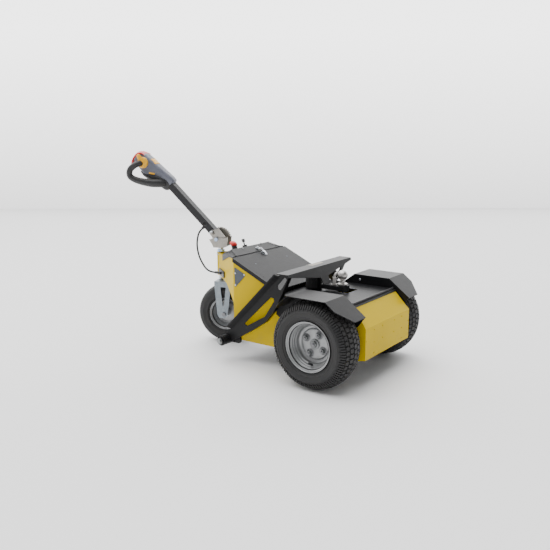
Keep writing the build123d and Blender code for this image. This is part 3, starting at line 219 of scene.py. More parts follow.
def zinc_plate(name, colour, spangle, roughness, streak=(1, 1, 1)):
    """Plated or brushed steel: patches of tone and fine streaks."""
    zinc = Finish(name)
    patch = zinc.node("TexVoronoi", None, {"Vector": zinc.place(), "Scale": 95.0}, output=1)
    tone = zinc.node("SeparateColor", None, {0: patch})
    streaks = zinc.noise(420.0, 3.0, 0.6, streak)
    tint = zinc.mix(tone * 0.5 + streaks * 0.3, colour, spangle)
    return zinc.surface(tint, roughness + streaks * 0.16, (streaks, 0.08, 0.0003), Metallic=1.0)


def rim_paint(name):
    paint = Finish(name)
    flake = paint.noise(1800.0, 1.0)
    grime = paint.ramp(paint.noise(30.0, 5.0, 0.65), 0.5, 0.85) * 0.35
    tint = paint.mix(grime, rgb(0.34, 0.345, 0.35), rgb(0.17, 0.17, 0.17))
    rough = 0.34 + flake * 0.1 + grime * 0.2
    return paint.surface(tint, rough, (flake, 0.05, 0.0003), Metallic=0.65)


def turned_steel(name):
    """Bright turned steel with the faint rings that the lathe leaves."""
    steel = Finish(name)
    values = {"Vector": steel.place(), "Scale": 220.0, "Distortion": 0.4}
    rings = steel.node("TexWave", {"bands_direction": "Z"}, values)
    haze = steel.ramp(steel.noise(30.0, 4.0, 0.6), 0.35, 0.8)
    tint = steel.mix(haze, rgb(0.58, 0.56, 0.54), rgb(0.44, 0.43, 0.42))
    return steel.surface(tint, 0.34 + haze * 0.08, (rings, 0.03, 0.0002), Metallic=1.0)


def tyre_rubber(name):
    rubber = Finish(name)
    grain = rubber.noise(500.0, 4.0)
    bloom = rubber.ramp(rubber.noise(14.0, 5.0, 0.6), 0.4, 0.75)
    tint = rubber.mix(bloom * 0.6, rgb(0.014, 0.014, 0.015), rgb(0.034, 0.032, 0.03))
    return rubber.surface(tint, 0.62 + bloom * 0.16, (grain, 0.2, 0.0005))


def moulded(name, colour, shade, roughness, grain_scale=900.0, grain_strength=0.14):
    """Moulded plastic or soft rubber with a fine leather grain."""
    plastic = Finish(name)
    values = {"Vector": plastic.place(), "Scale": grain_scale}
    grain = plastic.node("TexVoronoi", {"feature": "SMOOTH_F1"}, values)
    cloud = plastic.noise(22.0, 4.0)
    tint = plastic.mix(plastic.ramp(cloud, 0.35, 0.7) * 0.7, colour, shade)
    return plastic.surface(tint, roughness + cloud * 0.1, (grain, grain_strength, 0.0003))


yellow_paint = gloss_paint("yellow_enamel", rgb(0.62, 0.435, 0.0), rgb(0.59, 0.41, 0.0), 0.36)
black_coat = powder_coat("black_powder_coat", rgb(0.01, 0.01, 0.011), 0.36)
tube_coat = powder_coat("tiller_powder_coat", rgb(0.035, 0.035, 0.037), 0.42)
fork_zinc = zinc_plate("galvanised_fork", rgb(0.23, 0.265, 0.29), rgb(0.36, 0.395, 0.43), 0.42, (1, 1, 0.08))
# Painted light: lighter than the cheeks' nickel so that the quadrant, which sits in shade, still looks light
quadrant_lightened_steel = zinc_plate("quadrant_lightened_steel", rgb(0.62, 0.59, 0.54), rgb(0.74, 0.72, 0.67), 0.5)
dull_zinc = zinc_plate("dull_zinc", rgb(0.24, 0.25, 0.25), rgb(0.34, 0.35, 0.36), 0.42)
bolt_zinc = zinc_plate("zinc_bolts", rgb(0.62, 0.66, 0.7), rgb(0.78, 0.8, 0.82), 0.26)
blue_zinc = zinc_plate("blue_zinc", rgb(0.38, 0.5, 0.7), rgb(0.55, 0.66, 0.82), 0.24)
nickel = zinc_plate("nickel_plate", rgb(0.36, 0.34, 0.31), rgb(0.48, 0.46, 0.42), 0.38, (1, 1, 0.15))
rim_silver = rim_paint("rim_silver")
ball_steel = turned_steel("ball_steel")
tyre_black = tyre_rubber("tyre_rubber")
soft_black = moulded("soft_black_rubber", rgb(0.02, 0.02, 0.021), rgb(0.034, 0.034, 0.036), 0.44)
black_plastic = moulded("black_plastic", rgb(0.018, 0.018, 0.019), rgb(0.03, 0.03, 0.032), 0.38)
head_grey = moulded("blue_grey_plastic", rgb(0.13, 0.138, 0.175), rgb(0.155, 0.163, 0.2), 0.4)
amber = moulded("amber_plastic", rgb(0.93, 0.47, 0.01), rgb(0.88, 0.42, 0.01), 0.34)
signal_red = moulded("red_plastic", rgb(0.72, 0.02, 0.016), rgb(0.62, 0.014, 0.012), 0.26, 1400.0, 0.04)
dark_steel = zinc_plate("dark_steel", rgb(0.16, 0.16, 0.17), rgb(0.28, 0.28, 0.29), 0.36)
# Near-black for discs that paint the shade inside the hood's holes
hole_shade_black = moulded("hole_shade_black", rgb(0.004, 0.004, 0.004), rgb(0.006, 0.006, 0.006), 0.7)
label_beige = moulded("label_beige", rgb(0.23, 0.19, 0.14), rgb(0.2, 0.165, 0.12), 0.35, 900.0, 0.02)
plate_grey = powder_coat("plate_grey", rgb(0.085, 0.095, 0.115), 0.36)
battery_case = moulded("battery_case", rgb(0.03, 0.03, 0.03), rgb(0.05, 0.05, 0.05), 0.6)
cast_iron = powder_coat("drive_casting", rgb(0.06, 0.06, 0.06), 0.6)

node_finishes = {
    yellow_paint: "side_panel_left side_panel_right steering_head rear_cover",
    black_coat: "floor_pan bulkhead deck fender_left fender_right front_cover hood hood_hinge arm_left"
    " arm_right beam tongue lift_trunnion pivot_bracket_left pivot_bracket_right axle_tube_left"
    " axle_tube_right lift_barrel",
    tube_coat: "tiller_tube",
    fork_zinc: "fork",
    dark_steel: "front_axle_bolt",
    quadrant_lightened_steel: "quadrant",
    bolt_zinc: "hub_left hub_right hub_front stem lift_rod hood_latch",
    blue_zinc: "pivot_bolt",
    nickel: "tiller_bracket tiller_cheek_left tiller_cheek_right",
    ball_steel: "tow_ball",
    rim_silver: "rim_left rim_right rim_front",
    tyre_black: "tyre_left tyre_right tyre_front",
    soft_black: "grip_left grip_right cable_upper cable_lower lift_boot",
    black_plastic: "stop_base key_switch cable_socket cable_gland head_underside",
    head_grey: "head_housing",
    amber: "thumb_rotor_left thumb_rotor_right",
    signal_red: "stop_button belly_button",
    battery_case: "battery",
    cast_iron: "drive_unit",
}
for material, names in node_finishes.items():
    for name in names.split():
        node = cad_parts[name]
        node.data.materials.clear()
        node.data.materials.append(material)


# Mesh kit
sharp_angle = radians(38)
washer_share = 0.22
chamfer_share = 0.14


def keep(name, bm, material, body, stands_for=()):
    """Turns a bmesh into a piece that rides on a body, if one is given."""
    bmesh.ops.recalc_face_normals(bm, faces=bm.faces)
    mesh = bpy.data.meshes.new(name)
    bm.to_mesh(mesh)
    bm.free()
    piece = add_object(name, mesh)
    mesh.materials.append(material)
    mesh.shade_smooth()
    mesh.set_sharp_from_angle(angle=sharp_angle)
    if body:
        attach(piece, body)
    if stands_for:
        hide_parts(*stands_for)
    return piece


def axes(origin, across, along):
    """Matrix whose Z runs along, whose X lies on the side of across, at origin."""
    z = Vector(along).normalized()
    y = z.cross(Vector(across)).normalized()
    x = y.cross(z)
    return Matrix.Translation(origin) @ Matrix((x, y, z)).transposed().to_4x4()


def skin(bm, rings):
    """Joins rings of points, each of the same count, and closes both ends."""
    made = [[bm.verts.new(point) for point in ring] for ring in rings]
    count = len(made[0])
    for here, there in zip(made, made[1:]):
        for i in range(count):
            j = (i + 1) % count
            bm.faces.new((here[i], here[j], there[j], there[i]))
    bm.faces.new(list(reversed(made[0])))
    bm.faces.new(made[-1])


def lathe(bm, profile, place, steps, closed=False):
    """Revolves (radius, height) pairs about the Z of place."""
    rings = []
    for step in range(steps):
        turn = 2 * pi * step / steps
        ring = [bm.verts.new(place @ Vector((r * cos(turn), r * sin(turn), h))) for r, h in profile]
        rings.append(ring)
    count = len(profile)
    for step in range(steps):
        here, there = rings[step], rings[(step + 1) % steps]
        for i in range(count if closed else count - 1):
            j = (i + 1) % count
            bm.faces.new((here[i], here[j], there[j], there[i]))
    if not closed:
        for end in (0, -1):
            if profile[end][0] > 1e-6:
                bm.faces.new([ring[end] for ring in rings])


def turned(name, profile, place, steps, material, body, closed=False, stands_for=()):
    """A piece that one lathe call makes."""
    bm = bmesh.new()
    lathe(bm, profile, place, steps, closed)
    return keep(name, bm, material, body, stands_for)


def prism(bm, outline, place, low, high, bevel=0.0):
    """Extrudes an outline in the XY of place from low to high, its top edge bevelled."""
    middle = sum((Vector(point) for point in outline), Vector((0, 0))) / len(outline)
    levels = [(low, 0.0), (high - bevel, 0.0)]
    if bevel:
        levels.append((high, bevel))
    rings = []
    for height, inset in levels:
        ring = []
        for point in outline:
            reach = Vector(point) - middle
            spot = middle + reach * (1 - inset / max(reach.length, 1e-6))
            ring.append(place @ Vector((spot.x, spot.y, height)))
        rings.append(ring)
    skin(bm, rings)


def round_outline(width, height, corner, steps=5):
    """Rounded rectangle about the origin."""
    points = []
    for turn, x, y in ((0, 1, 1), (1, -1, 1), (2, -1, -1), (3, 1, -1)):
        for step in range(steps + 1):
            angle = (turn + step / steps) * pi / 2
            across = x * (width / 2 - corner) + corner * cos(angle)
            points.append((across, y * (height / 2 - corner) + corner * sin(angle)))
    return points


def hexagon(radius, turn=0.0):
    turns = [turn + 2 * pi * i / 6 for i in range(6)]
    return [(radius * cos(angle), radius * sin(angle)) for angle in turns]


def bolt(bm, place, radius, height, washer):
    """Hexagon head with a chamfered top on a washer; Z of place points out of the surface."""
    washer_height = height * washer_share
    rim = radius * washer
    lathe(bm, [(0, 0), (rim, 0), (rim, washer_height), (0, washer_height)], place, 24)
    prism(bm, hexagon(radius), place, washer_height, height, radius * chamfer_share)


def smooth_line(points, steps):
    """Points on a Catmull-Rom line through the given points."""
    padded = [2 * points[0] - points[1], *points, 2 * points[-1] - points[-2]]
    line = []
    for a, b, c, d in zip(padded, padded[1:], padded[2:], padded[3:]):
        for step in range(steps):
            t = step / steps
            bend = (2 * a - 5 * b + 4 * c - d) * t**2
            line.append(0.5 * (2 * b + (c - a) * t + bend + (3 * b - a - 3 * c + d) * t**3))
    line.append(points[-1])
    return line


def tube(bm, line, radii, steps=20):
    """Round tube along a line with a radius at each point, closed at both ends."""
    side = Vector((0, 0, 1))
    rings = []
    for i, point in enumerate(line):
        heading = (line[min(i + 1, len(line) - 1)] - line[max(i - 1, 0)]).normalized()
        side = (side - heading * side.dot(heading)).normalized()
        other = heading.cross(side)
        ring = []
        for step in range(steps):
            turn = 2 * pi * step / steps
            ring.append(point + (side * cos(turn) + other * sin(turn)) * radii[i])
        rings.append(ring)
    skin(bm, rings)


# Places on the body and on the moving groups
def at(forward, left, height):
    """A point given ahead of the rear axle, to the left and up."""
    return Vector((rear_axle.x + forward, left, height))


def steered(forward, left, height):
    """A point given ahead of the steering axis and to its left, with the wheel's lock on."""
    x = steer_x + forward * cos(steer_angle) - left * sin(steer_angle)
    y = forward * sin(steer_angle) + left * cos(steer_angle)
    return Vector((x, y, height))


def upright(forward, left, height):
    return axes(at(forward, left, height), (1, 0, 0), (0, 0, 1))


steered_left = Vector((-sin(steer_angle), cos(steer_angle), 0))
steered_ahead = Vector((cos(steer_angle), sin(steer_angle), 0))
tiller_along = steered_ahead * cos(tiller_angle) + Vector((0, 0, sin(tiller_angle)))
tiller_up = Vector((0, 0, cos(tiller_angle))) - steered_ahead * sin(tiller_angle)


def on_tiller(along, up, left):
    """A point given along the tiller from its pivot, square above it and to its left."""
    return steered(pivot_ahead, 0, pivot_z) + tiller_along * along + tiller_up * up + steered_left * left


# Cable: the route's points, in metres, ahead of the rear axle, to the left and up
cable_radius = 0.005
gland_along = 0.1
gland_left = 0.012
gland_low = -0.0248
cable_lead = 0.024
sleeve_lead = 0.031
upper_route = [(0.933, 0.056, 0.586), (0.935, 0.063, 0.555), (0.929, 0.071, 0.526), (0.919, 0.078, 0.509)]
lower_route = [(0.919, 0.078, 0.509), (0.911, 0.0836, 0.4954), (0.889, 0.092, 0.462), (0.85, 0.095, 0.4165)]
socket_ahead = 0.198
socket_z = 0.3995
socket_depth = 0.008
sleeve_length = 0.036
socket_normal = Vector((nose_slope, 1, 0)).normalized()
socket_along = Vector((1, -nose_slope, 0)).normalized()
sleeve_way = (socket_normal + socket_along).normalized()
socket_root = Vector((fold_x + socket_ahead, body_half - socket_ahead * nose_slope, socket_z))
sleeve_end = socket_root + socket_normal * socket_depth + sleeve_way * sleeve_length


def cable_line(name, points):
    """The cable's centre line: a smooth curve with the route's points as its control points."""
    curve = bpy.data.curves.new(name, "CURVE")
    curve.dimensions = "3D"
    curve.resolution_u = 12
    spline = curve.splines.new("NURBS")
    spline.points.add(len(points) - 1)
    for spot, point in zip(spline.points, points):
        spot.co = (*point, 1)
    spline.order_u = 3
    spline.use_endpoint_u = True
    carrier = add_object(name, curve)
    line = bpy.data.meshes.new_from_object(carrier)
    places = [vertex.co.copy() for vertex in line.vertices]
    bpy.data.objects.remove(carrier)
    return places


def make_cable(name, points, node):
    """A cable between two bodies, made as a tube along a smooth line through the points; it rides on neither
    body.
    """
    line = cable_line(name + "_line", points)
    bm = bmesh.new()
    tube(bm, line, [cable_radius] * len(line), 16)
    piece = keep(name, bm, soft_black, None)
    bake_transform(piece)
    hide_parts(node)


upper_points = [
    on_tiller(gland_along, gland_low, gland_left),
    on_tiller(gland_along, gland_low - cable_lead, gland_left),
    *[at(*place) for place in upper_route],
]
lower_points = [*[at(*place) for place in lower_route], sleeve_end + sleeve_way * sleeve_lead, sleeve_end]
make_cable("tiller_cable_upper", upper_points, "cable_upper")
make_cable("tiller_cable_lower", lower_points, "cable_lower")


# Tyres
def arc_through(first, middle, last, steps):
    """Points on the circle through three points, from the first to the last."""
    (ax, ay), (bx, by), (cx, cy) = first, middle, last
    double = 2 * (ax * (by - cy) + bx * (cy - ay) + cx * (ay - by))
    a, b, c = ax**2 + ay**2, bx**2 + by**2, cx**2 + cy**2
    centre_x = (a * (by - cy) + b * (cy - ay) + c * (ay - by)) / double
    centre_y = (a * (cx - bx) + b * (ax - cx) + c * (bx - ax)) / double
    centre = Vector((centre_x, centre_y))
    radius = (Vector(first) - centre).length
    start = atan2(ay - centre.y, ax - centre.x)
    turn = (atan2(cy - centre.y, cx - centre.x) - start + pi) % (2 * pi) - pi
    through = (atan2(by - centre.y, bx - centre.x) - start + pi) % (2 * pi) - pi
    if turn * through < 0:
        turn -= 2 * pi if turn > 0 else -2 * pi
    angles = [start + turn * i / steps for i in range(steps + 1)]
    return [centre + Vector((cos(angle), sin(angle))) * radius for angle in angles]


# Steps of a tyre's section, how its bead sits in the rim's flange, and how deep the treads are
crown_steps = 12
wall_steps = 16
flange_inset = 0.0043
bead_drop = 0.0137
tread_depth = 0.007
groove_depth = 0.005
# Radius and half-width of the rims at their flanges
rear_rim = (0.116, 0.068)
front_rim = (0.089, 0.046)


class Tyre:
    """Section of a tyre from the crown's middle down one wall: points are (across, radius)."""

    def __init__(self, radius, width, rim_radius, rim_half):
        shoulder = radius - width / 9
        tread_half = width / 2 - width / 12
        bead = (rim_half - flange_inset, rim_radius - bead_drop)
        rim_edge = (rim_half - flange_inset, rim_radius)
        wall = (width / 2, (rim_radius - 0.014 + shoulder) / 2)
        edge = (tread_half, shoulder)
        crown = arc_through((-tread_half, shoulder), (0, radius), edge, 2 * crown_steps)[crown_steps:]
        side = arc_through(edge, wall, rim_edge, wall_steps)
        self.line = [*crown, *side[1:], Vector(bead)]
        self.lengths = [0.0]
        for before, after in zip(self.line, self.line[1:]):
            self.lengths.append(self.lengths[-1] + (after - before).length)
        self.crown_length = self.lengths[crown_steps]
        self.wall_length = self.lengths[crown_steps + wall_steps] - self.crown_length

    def spot(self, along, lift):
        """Point at a distance along the section, lifted off it; a negative distance is the far half."""
        reach = min(abs(along), self.lengths[-1] - 1e-6)
        i = max(k for k, length in enumerate(self.lengths[:-1]) if length <= reach)
        heading = (self.line[i + 1] - self.line[i]).normalized()
        point = self.line[i] + heading * (reach - self.lengths[i]) + Vector((-heading.y, heading.x)) * lift
        return Vector((point.x if along >= 0 else -point.x, point.y))

    def world(self, place, along, lift, turn):
        across, radius = self.spot(along, lift)
        return place @ Vector((radius * cos(turn), radius * sin(turn), across))


def tyre_carcass(bm, tyre, place, stations, steps):
    """Revolves the section, given as (distance along it, lift), both halves."""
    half = [tyre.spot(along, lift) for along, lift in stations]
    profile = [(point.y, point.x) for point in half]
    profile = [(radius, -across) for radius, across in reversed(profile)] + profile[1:]
    lathe(bm, profile, place, steps, closed=True)


def tread_block(bm, tyre, place, outline):
    """A block from the groove's floor up to the section; its outline is (turn, distance along it) pairs."""
    middle_turn = sum(turn for turn, _ in outline) / len(outline)
    middle_along = sum(along for _, along in outline) / len(outline)
    lower = [bm.verts.new(tyre.world(place, along, -tread_depth, turn)) for turn, along in outline]
    upper = []
    for turn, along in outline:
        shrink = block_draft / max(abs(along - middle_along), 0.004)
        near = along + (middle_along - along) * min(shrink, 0.3)
        upper.append(bm.verts.new(tyre.world(place, near, 0, turn + (middle_turn - turn) * 0.1)))
    count = len(outline)
    for i in range(count):
        j = (i + 1) % count
        bm.faces.new((lower[i], lower[j], upper[j], upper[i]))
    bm.faces.new(upper)


# Turf tread: rows of bent blocks, and fine lugs over each shoulder
turf_pitches = 54
shoulder_lugs = 98
lug_pitch = 2 * pi / shoulder_lugs
block_half = 0.4
block_draft = 0.0012
# Rows: start and end along the section as shares of the crown, then the offset and the bend in pitches
turf_rows_shares = [
    (-0.16, 0.16, 0.0, 0.16), (0.22, 0.55, 0.5, -0.16), (-0.55, -0.22, 0.5, 0.16), (0.61, 0.88, 0.0, 0.14),
    (-0.88, -0.61, 0.0, -0.14),
]
lug_half_share = 0.27
lug_foot_share = 0.33
lug_lifts = (0, 0, 0, -0.0005)
# Stations down the wall: distance below the crown as a share of the wall, and the lift
turf_wall_shares = [(0, -tread_depth), (0.14, -0.0065), (0.24, -0.0055), (0.31, -0.0028)]
wall_ridge_shares = [(0.42, 0.0012), (0.72, 0.0014), (0.86, 0.001)]
ridge_foot = -0.0022
ribbed_wall_shares = [
    (0.1, 0), (0.2, 0), (0.3, -0.001), (0.34, 0), (0.37, 0), (0.41, -0.001), (0.55, -0.001),
    (0.7, -0.001), (0.73, 0.0006), (0.77, 0.0006), (0.8, -0.001), (0.92, -0.0005), (1.0, 0),
]


def shoulder_lug(bm, tyre, place, side, turn, rows):
    """A lug over one shoulder, its foot a little wider than its top."""
    sunk = [-tread_depth] * len(rows)
    edges = []
    for half_share, lifts in ((lug_half_share, lug_lifts), (lug_foot_share, sunk)):
        for lean in (-half_share, half_share):
            angle = turn + lug_pitch * lean
            spots = [tyre.world(place, side * reach, lift, angle) for reach, lift in zip(rows, lifts)]
            edges.append([bm.verts.new(spot) for spot in spots])
    near, far, low_near, low_far = edges
    for k in range(3):
        bm.faces.new((near[k], near[k + 1], far[k + 1], far[k]))
        bm.faces.new((low_near[k], low_near[k + 1], near[k + 1], near[k]))
        bm.faces.new((far[k], far[k + 1], low_far[k + 1], low_far[k]))
    bm.faces.new((near[0], far[0], low_far[0], low_near[0]))
    bm.faces.new((near[3], low_near[3], low_far[3], far[3]))


def turf_tyre(name, node, body, place, tyre):
    bm = bmesh.new()
    crown = tyre.crown_length
    wall = tyre.wall_length
    stations = [(crown * i / 8, -tread_depth) for i in range(8)]
    down_wall = list(turf_wall_shares)
    last_share = down_wall[-1][0]
    for share, lift in wall_ridge_shares:
        down_wall += [((share + last_share) / 2, -0.0025), (share - 0.03, ridge_foot)]
        ridge_top = ridge_foot + lift
        down_wall += [(share - 0.015, ridge_top), (share + 0.015, ridge_top), (share + 0.03, ridge_foot)]
        last_share = share
    down_wall += [(0.95, -0.001), (1.0, 0)]
    stations += [(crown + wall * share, lift) for share, lift in down_wall]
    stations.append((tyre.lengths[-1] - 0.001, 0))
    tyre_carcass(bm, tyre, place, stations, 144)
    pitch = 2 * pi / turf_pitches
    for start, end, offset, bend in turf_rows_shares:
        middle = (start + end) / 2
        for i in range(turf_pitches):
            turn = (i + offset) * pitch
            outline = []
            column = [(start, 0), ((start + middle) / 2, bend / 2), (middle, bend)]
            column += [((end + middle) / 2, bend / 2), (end, 0)]
            for half, points in ((-block_half, column), (block_half, column[::-1])):
                outline += [(turn + (half + lean) * pitch, share * crown) for share, lean in points]
            tread_block(bm, tyre, place, outline)
    for i in range(shoulder_lugs):
        rows = (crown * 0.92, crown, crown + wall * 0.1, crown + wall * (0.3 if i % 2 else 0.22))
        for side in (1, -1):
            turn = (i + 0.25 + side * 0.25) * lug_pitch
            shoulder_lug(bm, tyre, place, side, turn, rows)
    return keep(name, bm, tyre_black, body, stands_for=(node,))


def ribbed_tyre(name, node, body, place, tyre):
    bm = bmesh.new()
    crown = tyre.crown_length
    wall = tyre.wall_length
    stations = [(0, -groove_depth), (crown * 0.06, -groove_depth)]
    for start, end in ((0.1, 0.36), (0.46, 0.7), (0.8, 1.0)):
        stations += [(crown * start, 0), (crown * (start + end) / 2, 0), (crown * end, 0)]
        if end < 1:
            stations += [(crown * (end + 0.03), -groove_depth), (crown * (end + 0.07), -groove_depth)]
    stations += [(crown + wall * share, lift) for share, lift in ribbed_wall_shares]
    stations.append((tyre.lengths[-1] - 0.001, 0))
    tyre_carcass(bm, tyre, place, stations, 128)
    return keep(name, bm, tyre_black, body, stands_for=(node,))


rear_tyre = Tyre(rear_radius, rear_width, *rear_rim)
front_tyre = Tyre(front_radius, front_width, *front_rim)
rear_wheel_y = (rear_low.y + rear_high.y) / 2
wheel_places = {}
for side, sign in sides:
    centre = Vector((rear_axle.x, sign * rear_wheel_y, rear_radius))
    wheel_places[side] = axes(centre, (1, 0, 0), (0, sign, 0))
    turf_tyre(f"turf_tyre_{side}", f"tyre_{side}", f"wheel_{side}", wheel_places[side], rear_tyre)
front_centre = steered(-front_trail, 0, front_radius)
front_place = axes(front_centre, steered_ahead, steered_left)
ribbed_tyre("ribbed_tyre_front", "tyre_front", "wheel_front", front_place, front_tyre)

# Rims: a section of (radius, height outward from the wheel's middle), turned about the axle
rim_face = [
    (0.1155, 0.0685), (0.116, 0.0708), (0.1145, 0.0722), (0.112, 0.0712), (0.1102, 0.067),
    (0.1092, 0.06), (0.106, 0.0572), (0.1032, 0.0562), (0.1018, 0.051), (0.099, 0.0482),
    (0.0978, 0.04), (0.095, 0.0365), (0.093, 0.027), (0.0902, 0.0235), (0.0888, 0.012),
    (0.0868, 0.0065), (0.082, 0.003), (0.076, 0.0016), (0.0715, 0.003), (0.069, 0.0075),
    (0.0655, 0.0092), (0.045, 0.0092), (0.0205, 0.0092),
]
rim_back = [
    (0.0205, -0.003), (0.07, -0.003), (0.084, 0.0), (0.09, 0.0), (0.091, -0.02),
    (0.096, -0.03), (0.0985, -0.056), (0.108, -0.06), (0.11, -0.068), (0.112, -0.0712),
    (0.1145, -0.0722), (0.116, -0.0708), (0.1155, -0.0685), (0.106, -0.064), (0.104, -0.062),
    (0.1035, -0.03), (0.0958, -0.016), (0.0958, 0.03), (0.1035, 0.04), (0.104, 0.062),
    (0.106, 0.064),
]


def wheel_rim(name, node, body, place, radius_share, width_share):
    face = smooth_line([Vector(point) for point in rim_face], 3)
    back = [Vector(point) for point in rim_back]
    profile = [(r * radius_share, h * width_share) for r, h in [*face, *back]]
    turned(name, profile, place, 96, rim_silver, body, closed=True, stands_for=(node,))


nut_circle = 0.05
valve_places = [(0.093, 0.03), (0.088, 0.037), (0.083, 0.046), (0.08, 0.054)]


def wheel_fittings(side, place):
    """Four wheel nuts on their studs, the shaft's nut and the valve; the dark ring under each nut is painted
    shade of the recess round it.
    """
    nuts = bmesh.new()
    studs_and_shade_seats = bmesh.new()
    for turn in (28, 118, 208, 298):
        angle = radians(-turn)
        spot = place @ Matrix.Translation((nut_circle * cos(angle), nut_circle * sin(angle), 0.0088))
        # Dark seat ring under the nut: painted shade of the recess round it
        lathe(studs_and_shade_seats, [(0, 0), (0.0195, 0), (0.0195, 0.0012), (0.018, 0.0022), (0, 0.0022)], spot, 28)
        lathe(nuts, [(0, 0.002), (0.0145, 0.002), (0.0145, 0.0035), (0.0125, 0.006), (0, 0.006)], spot, 28)
        prism(nuts, hexagon(0.0122, radians(turn)), spot, 0.005, 0.018, 0.0018)
        lathe(studs_and_shade_seats, [(0, 0.01), (0.006, 0.01), (0.006, 0.0225), (0.0048, 0.0235), (0, 0.0235)], spot, 20)
    hub = place @ Matrix.Translation((0, 0, 0.0138))
    lathe(nuts, [(0, -0.003), (0.0235, -0.003), (0.0235, 0.001), (0.0215, 0.0022), (0, 0.0022)], hub, 40)
    prism(nuts, hexagon(0.0168, 0.3), hub, 0.002, 0.0125, 0.0022)
    lathe(studs_and_shade_seats, [(0, 0.008), (0.009, 0.008), (0.009, 0.0165), (0.007, 0.018), (0, 0.018)], hub, 24)
    keep(f"wheel_nuts_{side}", nuts, dull_zinc, f"wheel_{side}")
    keep(f"wheel_studs_and_shade_seats_{side}", studs_and_shade_seats, dark_steel, f"wheel_{side}")
    down = place.inverted().to_3x3() @ Vector((0, 0, -1))
    line = [place @ (down * r + Vector((0, 0, h))) for r, h in valve_places]
    valve = bmesh.new()
    tube(valve, line, [0.0055, 0.005, 0.0042, 0.0042], 14)
    tube(valve, [line[-1], line[-1] + (line[-1] - line[-2]).normalized() * 0.007], [0.005, 0.0046], 14)
    keep(f"valve_{side}", valve, black_plastic, f"wheel_{side}")


for side, place in wheel_places.items():
    wheel_rim(f"stepped_rim_{side}", f"rim_{side}", f"wheel_{side}", place, 1.0, 1.0)
    wheel_fittings(side, place)
front_shares = (front_rim[0] / rear_rim[0], front_rim[1] / rear_rim[1])
wheel_rim("stepped_rim_front", "rim_front", "wheel_front", front_place, *front_shares)


# Tiller head
def shell(bm, sections, steps):
    """A moulded shell on the tiller: place along it, half-width, low, high and corner radius."""
    rings = []
    for along, half, low, high, corner in smooth_line([Vector(section) for section in sections], steps):
        outline = round_outline(2 * half, high - low, min(corner, (high - low) / 2 - 0.0005), 6)
        rings.append([on_tiller(along, (low + high) / 2 + up, left) for left, up in outline])
    skin(bm, rings)


head_sections = [
    (0.3885, 0.016, 0.006, 0.033, 0.011), (0.391, 0.023, 0.0, 0.04, 0.013),
    (0.398, 0.027, 0.0, 0.044, 0.014), (0.42, 0.03, 0.006, 0.0445, 0.014),
    (0.446, 0.033, -0.004, 0.041, 0.015), (0.478, 0.036, -0.014, 0.0375, 0.016),
    (0.5, 0.038, -0.036, 0.035, 0.016), (0.521, 0.04, -0.058, 0.0325, 0.017),
    (0.56, 0.043, -0.057, 0.0295, 0.018), (0.6, 0.044, -0.053, 0.024, 0.019),
    (0.622, 0.0435, -0.052, 0.019, 0.02), (0.636, 0.0415, -0.05, 0.0115, 0.02),
    (0.643, 0.036, -0.044, 0.001, 0.018),
]
belly_sections = [
    (0.384, 0.016, -0.022, 0.01, 0.012), (0.388, 0.023, -0.031, 0.016, 0.014),
    (0.402, 0.028, -0.037, 0.019, 0.015), (0.43, 0.034, -0.042, 0.016, 0.018),
    (0.465, 0.04, -0.047, 0.004, 0.02), (0.5, 0.041, -0.06, -0.01, 0.02),
    (0.53, 0.04, -0.068, -0.036, 0.015), (0.56, 0.034, -0.066, -0.044, 0.01),
]
for name, sections, material, node in (
    ("head_shell", head_sections, head_grey, "head_housing"),
    ("head_belly", belly_sections, soft_black, "head_underside"),
):
    moulding = bmesh.new()
    shell(moulding, sections, 5)
    keep(name, moulding, material, "tiller", stands_for=(node,))

# Belly button: a thin curved bumper over the head's front
bumper_line = [
    (0.622, 0.0225), (0.638, 0.016), (0.649, 0.003), (0.6535, -0.016), (0.651, -0.04), (0.643, -0.06),
    (0.632, -0.073),
]
bumper_half = 0.043
bumper_bow = 0.012
bumper = bmesh.new()
front = smooth_line([Vector(point) for point in bumper_line], 4)
rear = [point - Vector((0.0085, 0.001)) for point in reversed(front)]
rings = []
for step in range(13):
    left = bumper_half * (step / 6 - 1)
    back = bumper_bow * (left / bumper_half) ** 2
    rings.append([on_tiller(u - back, v, left) for u, v in [*front, *rear]])
skin(bumper, rings)
keep("head_bumper", bumper, signal_red, "tiller", stands_for=("belly_button",))

# Thumb rotors, and the loops that the hands hold
rotor_along, rotor_up = 0.58, -0.012
lobe_along, lobe_up = 0.617, -0.004
rotor_profile = [
    (0, -0.002), (0.029, -0.002), (0.0304, 0.001), (0.03, 0.008), (0.0272, 0.0125), (0.0215, 0.015),
    (0, 0.016),
]
# Lobe: how far out from the rotor's middle, as shares of the way to its place, and the radius there
lobe_shares = [
    (0.0, 0.013), (0.35, 0.0132), (0.7, 0.013), (0.9, 0.0126), (1.0, 0.012), (1.15, 0.0104),
    (1.28, 0.008), (1.36, 0.005), (1.4, 0.0015),
]
